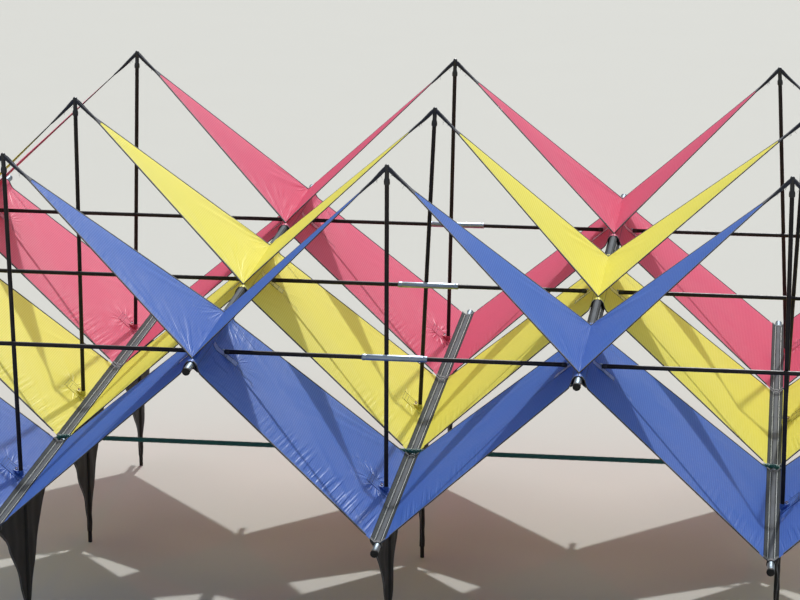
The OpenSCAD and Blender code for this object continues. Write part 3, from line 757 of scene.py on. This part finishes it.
def fin_outline():
    """Half width of a fin at each height, from the hollow-cut arc."""
    low = np.array([0.00635, BARE_L])
    high = np.array([CELL_L / 2, FIN_TOP])
    chord = high - low
    length = np.hypot(*chord)
    radius = (length ** 2 / 4 + FIN_HOLLOW ** 2) / (2 * FIN_HOLLOW)
    centre = (low + high) / 2 + np.array([chord[1], -chord[0]]) / length * (radius - FIN_HOLLOW)
    middle = math.atan2(chord[0], -chord[1])
    half = math.asin(length / 2 / radius)
    a = np.linspace(middle + half, middle - half, FIN_STEPS)
    return (centre + radius * np.stack([np.cos(a), np.sin(a)], 1)).T


def make_fin(r, i, bindings):
    rng = np.random.default_rng(400 + 10 * r + i)
    v = np.linspace(-1, 1, 41)
    width, z = fin_outline()
    z2 = np.repeat(z[:, None], len(v), 1)
    y = width[:, None] * v
    wave = (0.0016 * np.sin(z2 * 2 * math.pi / 0.11 + rng.uniform(0, 6) + 3 * v) +
            0.0011 * np.sin(y * 2 * math.pi / 0.075 + rng.uniform(0, 6)))
    x = keel_x(i) + wave * (smooth(0.012, 0.05, np.abs(y)) * smooth(0.0, 0.03, FIN_TOP - z2))
    sheet = Sheet(np.stack([x, MID_Y[r] + y, z2], 2), z, y, facing=(-1, 0, 0))
    batch = Batch()
    sheet.shell(batch, 0.0007)
    # the folded sleeve for the keel spar
    heights = np.linspace(BARE_L, KEEL_H - RING_R - 0.001, 30)
    path = np.stack([keel_x(i) + 0.0003 * np.sin(heights * 160 + rng.uniform(0, 6)),
                     np.full(30, MID_Y[r]), heights], 1)
    sweep(batch, path, 14, 0.0064 + 0.0004 * np.sin(heights * 95 + rng.uniform(0, 6)), squash=1.25)
    row = ROWS[r]
    piece = batch.piece(f"{row}_keel_fin_{BAY_NAMES[i]}", "black_fin_cloth", f"{row}_keel_fins", sharp=50)
    bind_edges(bindings, sheet, 0.0018, ripple=0.0005)


# ---- rigid pieces ----

def make_spars(r):
    row, y = ROWS[r], MID_Y[r]
    masts, keels, cross, ferrules, caps = (Batch() for _ in range(5))
    keel = [(0, 0.0), (0, SPAR_R - 0.0008), (0.0008, SPAR_R), (KEEL_TOP - 0.0005, SPAR_R),
            (KEEL_TOP, SPAR_R - 0.0005), (KEEL_TOP, 0.0)]
    inner, outer = SPAR_R + SLIP, FERRULE_R
    rolled = [(0, inner), (0, outer - 0.0011), (0.0006, outer - 0.0004), (0.0018, outer), (0.0085, outer),
              (0.0092, outer - 0.0004), (0.0101, outer - 0.0004), (0.0108, outer)]
    rolled += [(FERRULE_L - t, q) for t, q in reversed(rolled)]
    head = [(0.0, 0.0), (0.0002, 0.0019), (0.0011, 0.0036), (0.0030, 0.0050), (0.0056, 0.0057),
            (0.0090, 0.0058), (0.0112, 0.0056), (0.0137, SPAR_R + 0.0001), (0.0150, SPAR_R),
            (0.0310, SPAR_R), (0.0322, SPAR_R + 0.0003), (0.0350, 0.0065), (0.0385, 0.0069), (0.0410, 0.0070),
            (0.0440, 0.0068), (0.0456, 0.0066), (0.0460, 0.0061), (0.0460, 0.0)]
    for i in range(BAYS):
        foot, axis = mast_axis(r, i)
        lathe(masts, foot, foot + axis, spar_profile(MAST_TOP_Z - MAST_FOOT_Z), hollow=True)
        lathe(keels, (keel_x(i), y, 0), (keel_x(i), y, KEEL_TOP), keel)
        jointed = i == BAYS // 2
        spans = [(-CROSS_END, -SEAT / 2), (SEAT / 2, CROSS_END)] if jointed else [(-CROSS_END, CROSS_END)]
        for x0, x1 in spans:
            lathe(cross, (BOTTOM_X[i] + x0, y + CROSS_Y, CROSS_Z), (BOTTOM_X[i] + x1, y + CROSS_Y, CROSS_Z),
                  spar_profile(x1 - x0), hollow=True)
        if jointed:
            start = np.array([BOTTOM_X[i] - FERRULE_L / 2, y + CROSS_Y, CROSS_Z])
            lathe(ferrules, start, start + (1, 0, 0), rolled, 32, True)
        top = foot + axis * (TIP_Z - MAST_FOOT_Z)
        lathe(caps, top, top - axis, head, 32)
    masts.piece(f"{row}_mast_tubes", "dark_spar", f"{row}_masts")
    keels.piece(f"{row}_keel_rods", "dark_spar", f"{row}_keel_spars")
    cross.piece(f"{row}_cross_tubes", "dark_spar", f"{row}_cross_spars")
    ferrules.piece(f"{row}_ferrule_tubes", "ferrule_metal", f"{row}_ferrules")
    caps.piece(f"{row}_tip_fittings", "black_rubber", f"{row}_tip_caps")


def make_longerons():
    r = TUBE_R
    plug = [(-0.0130, 0.0), (-0.0130, 0.0060), (0.0, 0.0063), (0.0, r + 0.0003), (0.0006, r + 0.0008),
            (0.0052, r + 0.0008), (0.0066, r + 0.0004), (0.0078, r - 0.0008), (0.0086, r - 0.0026),
            (0.0089, r - 0.0050), (CAP_L, 0.0)]
    sets = (("bottom", BOTTOM_X, KEEL_H, TOTAL_L + 2 * TUBE_OUT),
            ("side", SIDE_X, SIDE_Z, TOTAL_L - 2 * LOWER_INSET + 2 * TUBE_OUT))
    for name, xs, z, length in sets:
        batch = Batch()
        for x in xs:
            tube = tube_profile(length, r, r - TUBE_WALL)
            lathe(batch, (x, -length / 2, z), (x, length / 2, z), tube, 32, True)
        batch.piece(f"{name}_longeron_tubes", "longeron_metal", f"{name}_longerons")
    for sign, name, material in ((-1, "front", "black_plastic"), (1, "back", "grey_plastic")):
        batch = Batch()
        for _, xs, z, length in sets:
            for x in xs:
                y = sign * length / 2
                lathe(batch, (x, y, z), (x, y + sign, z), plug, 32)
        batch.piece(f"{name}_tube_plugs", material, f"{name}_end_caps")


# ---- sleeves ----

def sleeve_section(rise, grow=0.0):
    """Closed outline of a sleeve round the longeron's axis, from one flange over the ridge to the other."""
    ring = RING_R + grow
    base = CLOTH_HALF if rise > 0 else -CLOTH_HALF - FLANGE_T
    low = base - (0 if rise > 0 else grow * 0.5)
    high = base + FLANGE_T + grow
    cos, sin = math.cos(LOWER_A * rise), math.sin(LOWER_A * rise)

    def slope(h, reach, count):
        return [(u * cos - h * sin, u * sin + h * cos) for u in np.linspace(FLANGE_W + grow, reach, count)]

    def arc(start, end):
        return [(ring * math.cos(t), ring * math.sin(t)) for t in np.linspace(start, end, 15)[1:-1]]

    right, under = slope(high, ring * 1.18, 6), slope(low, ring * 1.1, 4)
    join, join2 = (math.atan2(line[-1][1], line[-1][0]) for line in (right, under))
    over = right + arc(join, math.pi - join) + [(-x, z) for x, z in reversed(right)]
    below = [(-x, z) for x, z in under] + arc(math.pi - join2, 2 * math.pi + join2) + under[::-1]
    section = np.array(over + below)
    run = run_along(section)
    over_end = len(over) - 1
    return section, np.where(np.arange(len(run)) <= over_end, run - run[over_end] / 2, 0.012)


def sweep_section(batch, section, x, z, y0, y1, steps, wobble=0.0, seed=0):
    """Sweeps a sleeve's outline along Y. UV X is the distance from the ridge."""
    outline, from_ridge = section
    ys = np.linspace(y0, y1, steps)
    p, q = np.random.default_rng(seed).uniform(0, 6, 2)
    shake = wobble * (np.sin(ys * 90 + p) + 0.6 * np.sin(ys * 210 + q))
    verts = np.zeros((steps, len(outline), 3))
    verts[..., 0] = x + outline[:, 0]
    verts[..., 1] = ys[:, None]
    verts[..., 2] = z + outline[:, 1] + shake[:, None] * smooth(0.012, 0.021, np.hypot(*outline.T))
    add_rings(batch, verts, from_ridge, ys - y0)


def make_sleeves():
    """One sleeve for each cell on the bottom longerons, and unbroken ones on the side longerons."""
    bottom = [(x, y, y + CELL_L, 30 + 3 * r + i) for r, y in enumerate(ROW_Y) for i, x in enumerate(BOTTOM_X)]
    front, back = ROW_Y[0] + LOWER_INSET, ROW_Y[2] + CELL_L - LOWER_INSET
    side = [(x, front, back, 60 + j) for j, x in enumerate(SIDE_X)]
    for name, z, rise, grow, steps, wobble, band_l, band_steps, places in (
            ("bottom", KEEL_H, 1, 0.0006, 36, 0.0003, 0.012, 4, bottom),
            ("side", SIDE_Z, -1, 0.0005, 92, 0.0004, 0.010, 3, side)):
        cloth, bands = Batch(), Batch()
        section, bound = sleeve_section(rise), sleeve_section(rise, grow)
        for x, y0, y1, seed in places:
            sweep_section(cloth, section, x, z, y0 + 0.001, y1 - 0.001, steps, wobble, seed)
            for a, b in ((y0, y0 + band_l), (y1 - band_l, y1)):
                sweep_section(bands, bound, x, z, a, b, band_steps)
        cloth.piece(f"{name}_sleeve_cloth", "sleeve_cloth", f"{name}_sleeves", sharp=35)
        bands.piece(f"{name}_sleeve_bindings", "hem_tape", sharp=35)


# ---- pockets, webbing and rope ----

GUIDES = {"dark": [], "white": []}


def guide(kind, points, side):
    GUIDES[kind].append((points, np.broadcast_to(side, np.shape(points))))


def sew_patch(batch, sheet, span, sides, heights, insets):
    """A piece of cloth on a sheet, which follows its folds, with nested stitched rectangles.

    heights are the cloth's lift, its thickness and the stitches' lift. Each inset is a pair: from the
    second end of the span, and from both sides.
    """
    (u0, u1), (y0, y1), (lift, thick, stitch_lift) = span, sides, heights
    lengths = np.linspace(min(u0, u1), max(u0, u1), 14)
    u, y = np.meshgrid(lengths, np.linspace(y0, y1, 10), indexing="ij")
    p, n = sheet.at(u, y)
    Sheet(p + n * lift, lengths, y, facing=n).shell(batch, thick)
    for at_end, at_side in insets:
        a, b, c, d = u0 + min(at_end, 0.002), u1 - at_end, y0 + at_side, y1 - at_side
        corners = [(a, c), (b, c), (b, d), (a, d)]
        for (ua, ya), (ub, yb) in zip(corners, corners[1:]):
            t = np.linspace(0, 1, 24)
            p, n = sheet.at(ua + (ub - ua) * t, ya + (yb - ya) * t)
            guide("dark", p + n * stitch_lift, (0, 0, 1))


def make_pockets(r):
    row = ROWS[r]
    mast, spar, ends, rings, nocks = (Batch() for _ in range(5))
    foot_cup = [(0, 0.0), (0, 0.0056), (0.004, 0.0060), (0.010, 0.0058), (0.0125, 0.0056), (0.0130, 0.0054),
                (0.0130, 0.00515), (0.006, 0.0051), (0.0055, 0.0)]
    end_cup = [(0, 0.0051), (0, 0.0053), (0.0008, 0.0056), (0.009, 0.0056), (0.0112, 0.0050), (0.0125, 0.0)]
    nock = [(0, 0.0), (0, 0.0018), (0.0022, 0.0021), (0.0030, 0.0013), (0.0046, 0.0017), (0.0052, 0.0)]
    for i in range(BAYS):
        h = HAND[i]
        u0, u1 = FLANGE_W + 0.001, LOWER_END - 0.0215
        sew_patch(mast, LOWER[r, i, h], (u0, u0 + MAST_STRAP_L), (-STRAP_W / 2, STRAP_W / 2),
                  (0.0007, 0.0005, 0.0011), ((0.0015, 0.0015), (0.0075, 0.0015), (0.0150, 0.0125)))
        foot, axis = mast_axis(r, i)
        lathe(mast, foot - axis * 0.0055, foot + axis, foot_cup, 20)
        # folded tab at the foot, and the small ring with its clip beside it
        t = np.linspace(0, 1, 9)
        tab = np.stack([foot[0] + h * (0.004 + 0.013 * t), np.full(9, foot[1] - 0.005),
                        foot[2] + 0.001 + 0.0105 * t + 0.0015 * np.sin(t * 5)], 1)
        sweep(mast, tab, 8, 0.0030 - 0.0012 * t, squash=1.6)
        a = np.linspace(0, 2 * math.pi, 17)[:-1]
        loop = np.stack([foot[0] + h * 0.0085 + 0.0026 * np.cos(a), np.full(16, foot[1] - 0.007),
                         foot[2] + 0.013 + 0.0026 * np.sin(a)], 1)
        sweep(rings, loop, 6, 0.0009)
        clip = [foot + place for place in ((h * 0.0055, -0.006, 0.012), (h * 0.0095, -0.0075, 0.0125),
                                           (h * 0.0110, -0.0075, 0.0165))]
        sweep(nocks, clip, 8, 0.0009)
        for d in (-1, 1):
            sew_patch(spar, LOWER[r, i, d], (u1, u1 - SPAR_STRAP_L), (CROSS_Y - 0.014, CROSS_Y + 0.014),
                      (0.0006, 0.0004, 0.0010), ((-0.0015, 0.0012), (-0.0160, 0.0012), (-0.0300, 0.0012)))
            end = np.array([BOTTOM_X[i] + d * CROSS_END, MID_Y[r] + CROSS_Y, CROSS_Z])
            lathe(ends, end - (d * 0.0105, 0, 0), end + (d, 0, 0), end_cup, 20)
            lathe(nocks, end + (d * 0.0004, -0.001, 0.0036), end + (d, 0, 0.5), nock, 16)
    mast.piece(f"{row}_mast_foot_pockets", CLOTH[r], f"{row}_mast_pockets", sharp=45)
    spar.piece(f"{row}_spar_end_straps", CLOTH[r] + "_strap", f"{row}_spar_pockets", slot=CLOTH[r], sharp=45)
    ends.piece(f"{row}_spar_end_fittings", "black_rubber", sharp=45)
    rings.piece(f"{row}_foot_rings", "copper_ring", slot="ferrule_metal")
    nocks.piece(f"{row}_spar_nocks_and_clips", "ferrule_metal")


def hang_thread(batch, rng, root):
    """A loose end of thread that hangs from a webbing."""
    s = np.linspace(0, 1, 6)[:, None]
    drop = rng.uniform(0.004, 0.010)
    hang = np.array([rng.uniform(-0.4, 0.4), rng.uniform(-0.3, 0.3), -1.0])
    bend = np.array([rng.uniform(-0.003, 0.003), 0, 0])
    sweep(batch, root + hang * drop * s + bend * s * s, 4, 0.00025)


def make_webbings():
    """The rolled hems of each wing, side by side from the end of its cloth to the mast's cap."""
    batch, threads = Batch(), Batch()
    rng = np.random.default_rng(11)
    steps, k = 26, 24
    a = np.linspace(0, 2 * math.pi, k, endpoint=False)
    across = np.cos(a)
    groove = 1 - 0.45 * np.exp(-(across / 0.28) ** 2)
    for r, i, d in ((r, i, d) for r in range(3) for i in range(BAYS) for d in (-1, 1)):
        ux, uz, length = wing_slope(r, i, d)
        start, end = length - WEBBING_L - WEBBING_LAP, length - 0.0012 / ux
        w = np.linspace(start, end, steps)[:, None]
        t = (w - start) / (end - start)
        wide = (np.maximum(wing_half(w, length), POINT_HALF) * (1 - 0.06 * np.sin(3 * t)) -
                0.0012 * smooth(0.8, 1, t))
        thick = 0.0022 + 0.0032 * t ** 0.9 - 0.0010 * smooth(0.92, 1, t)
        sag = 0.0012 * t * t - 0.0005 * np.sin(np.pi * t)
        p = rng.uniform(0, 6, 3)
        folds = 1 + 0.10 * np.sin(3 * a + p[0] + 5 * t) + 0.06 * np.sin(5 * a + p[1] - 7 * t)
        yy = wide * across * (1 + 0.04 * np.sin(7 * t + p[2]))
        hh = thick * np.sign(np.sin(a)) * np.abs(np.sin(a)) ** 0.7 * groove * folds + sag
        verts = np.stack([BOTTOM_X[i] - d * HALF + d * (w * ux - hh * uz), MID_Y[r] + yy,
                          WING_Z + WING_LIFT + w * uz + hh * ux], 2)
        add_rings(batch, verts, np.linspace(0, 0.044, k), w - start)
        for _ in range(4):
            n = int(rng.uniform(0.35, 0.95) * (steps - 1))
            hang_thread(threads, rng, verts[n, int(rng.integers(13, 23))])
    batch.piece("tip_webbing_arms", "black_webbing", "tip_webbings", sharp=70)
    threads.piece("tip_webbing_threads", "black_webbing")


def rope_route():
    """From a hitch round the first bottom longeron, over the others, to a hitch round the last."""
    hitch = TUBE_R + SEAT + ROPE_R
    tail_a = math.radians(50)
    tail_l = ((hitch - ROPE_R) * (1 + math.cos(tail_a)) - SEAT) / math.sin(tail_a)
    cos, sin = math.cos(tail_a), math.sin(tail_a)
    tail = (hitch * sin + tail_l * cos, tail_l * sin - hitch * cos)
    turns = [math.radians(270) + tail_a - (math.pi + tail_a) * k / 44 for k in range(45)]
    left = np.array([tail] + [(hitch * math.cos(a), hitch * math.sin(a)) for a in turns])
    middle = np.stack([np.linspace(BOTTOM_X[0] + 0.004, BOTTOM_X[-1] - 0.004, 200), np.full(200, hitch)], 1)
    flat = np.concatenate([left + [BOTTOM_X[0], 0], middle, left[::-1] * [-1, 1] + [BOTTOM_X[-1], 0]])
    return np.stack([flat[:, 0], np.full(len(flat), ROW_Y[1] - ROPE_GAP / 2), KEEL_H + flat[:, 1]], 1)


def make_rope():
    """Braided sheath: ten strands that wind both ways and go over and under each other."""
    points = rope_route()
    run = run_along(points)
    samples = np.linspace(0, run[-1], ROPE_STEPS)
    line = np.stack([np.interp(samples, run, points[:, k]) for k in range(3)], 1)
    across = np.tile([0, 1.0, 0], (len(line), 1))
    up = np.cross(across, unit(np.gradient(line, axis=0)))
    batch = Batch()
    sweep(batch, line, 10, ROPE_R - 0.0021)
    lay = 0.034
    for way in (-1, 1):
        for k in range(5):
            phase = 2 * math.pi * k / 5 + (0.3 if way > 0 else 0)
            a = way * 2 * math.pi * samples / lay + phase
            lift = ROPE_R - 0.0019 + 0.00035 * np.cos(5 * a + (math.pi if way > 0 else 0))
            strand = line + lift[:, None] * (np.cos(a)[:, None] * across + np.sin(a)[:, None] * up)
            sweep(batch, strand, 6, 0.0015, normal=(0, 1, 0.001), uv_turn=0.5)
    batch.piece("anchor_rope_braid", "green_rope", "anchor_rope", sharp=60)


# ---- stitches ----

def stitch_tree():
    """Thread along guide lines: straight stitches with gaps, or a zigzag that swings to both sides."""
    tree = bpy.data.node_groups.new("thread_stitches", "GeometryNodeTree")
    for name, kind in (("Geometry", "Geometry"), ("Spacing", "Float"), ("Stitch Length", "Float"),
                       ("Thread Radius", "Float"), ("Swing", "Float"), ("Zigzag", "Bool"),
                       ("Material", "Material")):
        tree.interface.new_socket(name, in_out="INPUT", socket_type="NodeSocket" + kind)
    tree.interface.new_socket("Geometry", in_out="OUTPUT", socket_type="NodeSocketGeometry")
    g = Graph(tree)
    given = g.add("NodeGroupInput")
    curves = g.add("GeometryNodeMeshToCurve", {"Mesh": given["Geometry"]})[0]
    even = g.add("GeometryNodeResampleCurve", {"Curve": curves, "Length": given["Spacing"]}, mode="LENGTH")[0]
    # straight stitches
    points = g.add("GeometryNodeCurveToPoints", {"Curve": even}, mode="EVALUATED")
    bead = g.add("GeometryNodeMeshCylinder", {"Vertices": 4, "Radius": given["Thread Radius"],
                                              "Depth": given["Stitch Length"]}, fill_type="NGON")
    turn = g.add("FunctionNodeAlignRotationToVector", {"Vector": points["Tangent"]}, axis="Z")[0]
    beads = g.add("GeometryNodeInstanceOnPoints", {"Points": points["Points"], "Instance": bead["Mesh"],
                                                   "Rotation": turn})[0]
    real = g.add("GeometryNodeRealizeInstances", {0: beads})[0]
    # zigzag
    side = g.add("GeometryNodeInputNamedAttribute", {"Name": "side"}, data_type="FLOAT_VECTOR")["Attribute"]
    odd = g.math("MODULO", g.add("GeometryNodeInputIndex")[0], 2.0)
    swing = g.times(g.math("MULTIPLY_ADD", odd, 2.0, -1.0), given["Swing"])
    push = g.add("ShaderNodeVectorMath", {0: side, "Scale": swing}, operation="SCALE")[0]
    swung = g.add("GeometryNodeSetPosition", {"Geometry": even, "Offset": push})[0]
    ring = g.add("GeometryNodeCurvePrimitiveCircle", {"Resolution": 4, "Radius": given["Thread Radius"]})[0]
    thread = g.add("GeometryNodeCurveToMesh", {"Curve": swung, "Profile Curve": ring, "Fill Caps": True})[0]
    pick = g.add("GeometryNodeSwitch", {"Switch": given["Zigzag"], "False": real, "True": thread},
                 input_type="GEOMETRY")[0]
    done = g.add("GeometryNodeSetMaterial", {"Geometry": pick, "Material": given["Material"]})[0]
    return g.put_out(Geometry=done)


def run_stitches(tree, name, lines, material, slot, **values):
    mesh = bpy.data.meshes.new(name + "_guide")
    verts, sides = (np.concatenate(part) for part in zip(*lines))
    edges, start = [], 0
    for p, s in lines:
        edges += [(start + k, start + k + 1) for k in range(len(p) - 1)]
        start += len(p)
    mesh.from_pydata(verts.tolist(), edges, [])
    attribute = mesh.attributes.new("side", "FLOAT_VECTOR", "POINT")
    attribute.data.foreach_set("vector", sides.astype(np.float32).ravel())
    obj = new_object(name + "_guide", mesh)
    modifier = obj.modifiers.new("stitches", "NODES")
    modifier.node_group = tree
    ids = {item.name: item.identifier for item in tree.interface.items_tree if item.in_out == "INPUT"}
    for key, value in {**spaced(values), "Material": MATERIALS[material]}.items():
        modifier[ids[key]] = value
    bpy.context.view_layer.update()
    made = bpy.data.meshes.new_from_object(obj.evaluated_get(bpy.context.evaluated_depsgraph_get()))
    bpy.data.objects.remove(obj, do_unlink=True)
    made.name = name
    add_piece(name, made, material)


def zigzag_guides(x, z, y0, y1, count, rise, lift):
    """Lines in the grooves on both sides of a sleeve's ridge."""
    u, sin = FLANGE_FOOT + 0.0008, rise * SIN_A
    for s in (-1, 1):
        line = np.stack([np.full(count, x + s * (u * COS_A - lift * sin)), np.linspace(y0, y1, count),
                         np.full(count, z + u * sin + lift * COS_A)], 1)
        guide("white", line, (s * COS_A, 0, sin))


def sleeve_guides():
    """Zigzag thread on the bottom sleeves, and on the side sleeves where the sheets leave them bare."""
    for y in ROW_Y:
        for x in BOTTOM_X:
            zigzag_guides(x, KEEL_H, y + 0.014, y + CELL_L - 0.014, 90, 1, CLOTH_HALF + FLANGE_T + 0.0003)
    for x in SIDE_X:
        for y0, y1 in zip(ROW_Y, ROW_Y[1:]):
            zigzag_guides(x, SIDE_Z, y0 + CELL_L - LOWER_INSET, y1 + LOWER_INSET, 40, -1,
                          -CLOTH_HALF + 0.0003)


def seam_guides():
    """The seam beside each side longeron, where the sleeve's flange is sewn under the sheet."""
    half = CELL_L / 2 - LOWER_INSET - 0.006
    for sheet in LOWER.values():
        p, n = sheet.at(LOWER_END - SEAM_IN, np.linspace(-half, half, 60))
        guide("dark", p + n * 0.0006, (0, 0, 1))


# ---- build ----

for r in range(3):
    for i in range(BAYS):
        for d in (-1, 1):
            make_lower_sheet(r, i, d)
    for j in range(BAYS + 1):
        make_wing(r, j)
    make_hems(r)
    fin_bindings = Batch()
    for i in range(BAYS):
        make_fin(r, i, fin_bindings)
    fin_bindings.piece(f"{ROWS[r]}_fin_bindings", "hem_tape", slot="black_fin_cloth", sharp=50)
    make_spars(r)
    make_pockets(r)
make_longerons()
make_sleeves()
make_webbings()
make_rope()
sleeve_guides()
seam_guides()
STITCHES = stitch_tree()
run_stitches(STITCHES, "pocket_and_seam_stitches", GUIDES["dark"], "dark_thread", "hem_tape",
             Spacing=0.0042, Stitch_Length=0.0026, Thread_Radius=0.00035, Swing=0.0, Zigzag=False)
run_stitches(STITCHES, "sleeve_zigzag_thread", GUIDES["white"], "white_thread", "sleeve_cloth",
             Spacing=0.0030, Stitch_Length=0.003, Thread_Radius=0.00045, Swing=0.0012, Zigzag=True)


# ---- floor, light and camera ----

def make_floor():
    mesh = bpy.data.meshes.new("floor")
    s = 40
    mesh.from_pydata([(-s, -s, 0), (s, -s, 0), (s, s, 0), (-s, s, 0)], [], [(0, 1, 2, 3)])
    obj = new_object("floor", mesh)
    g = Material("pale_floor")
    tone = g.tint(g.noise(g.point, 3.0, 4.0, 0.5), 0.2, srgb(190, 187, 179), srgb(182, 178, 170))
    mesh.materials.append(g.finish(g.principled(tone, 0.9, Specular_IOR_Level=0.1)))


def make_world():
    """Sky light on the kite, and a pale backdrop for the camera."""
    world = bpy.data.worlds.new("studio")
    world.use_nodes = True
    world.node_tree.nodes.clear()
    g = Graph(world.node_tree)
    path = g.add("ShaderNodeLightPath")
    seen = g.math("MAXIMUM", path["Is Camera Ray"], path["Is Transmission Ray"])
    seen = g.math("MAXIMUM", seen, g.times(path["Is Glossy Ray"], 0.1))
    sky, back = (g.add("ShaderNodeBackground", {"Color": colour, "Strength": strength})[0]
                 for colour, strength in (((0.80, 0.90, 1.0, 1), 0.56), ((0.86, 0.86, 0.84, 1), 1.0)))
    g.add("ShaderNodeOutputWorld", {"Surface": g.blend(seen, sky, back)})
    bpy.context.scene.world = world


def make_sun(name, strength, angle, gloss_only=False):
    light = bpy.data.lights.new(name, "SUN")
    light.energy = strength
    light.angle = math.radians(angle)
    obj = new_object(name, light)
    obj.rotation_euler = Vector((-0.10, -0.97, -1.0)).to_track_quat("-Z", "Y").to_euler()
    obj.visible_diffuse = not gloss_only
    obj.visible_transmission = not gloss_only


def make_camera():
    """The photo's camera, as fitted to points of the kite."""
    yaw, pitch, roll = -0.1319314, 0.2751062, -0.0003885
    camera = bpy.data.cameras.new("camera")
    camera.lens = 132.537
    camera.sensor_width = 36
    camera.clip_end = 200
    obj = new_object("camera", camera)
    obj.matrix_world = (Matrix.Translation((0.8313, -6.7857, 2.5938)) @ Matrix.Rotation(-yaw, 4, "Z") @
                        Matrix.Rotation(math.pi / 2 - pitch, 4, "X") @ Matrix.Rotation(roll, 4, "Z"))
    bpy.context.scene.camera = obj


make_floor()
make_world()
make_sun("sun_from_behind", 2.5, 0.8)
make_sun("haze_round_the_sun", 1.3, 50.0)
make_sun("sun_on_gloss", 3.6, 4.0, gloss_only=True)
make_camera()
bpy.context.scene.view_settings.view_transform = "Standard"
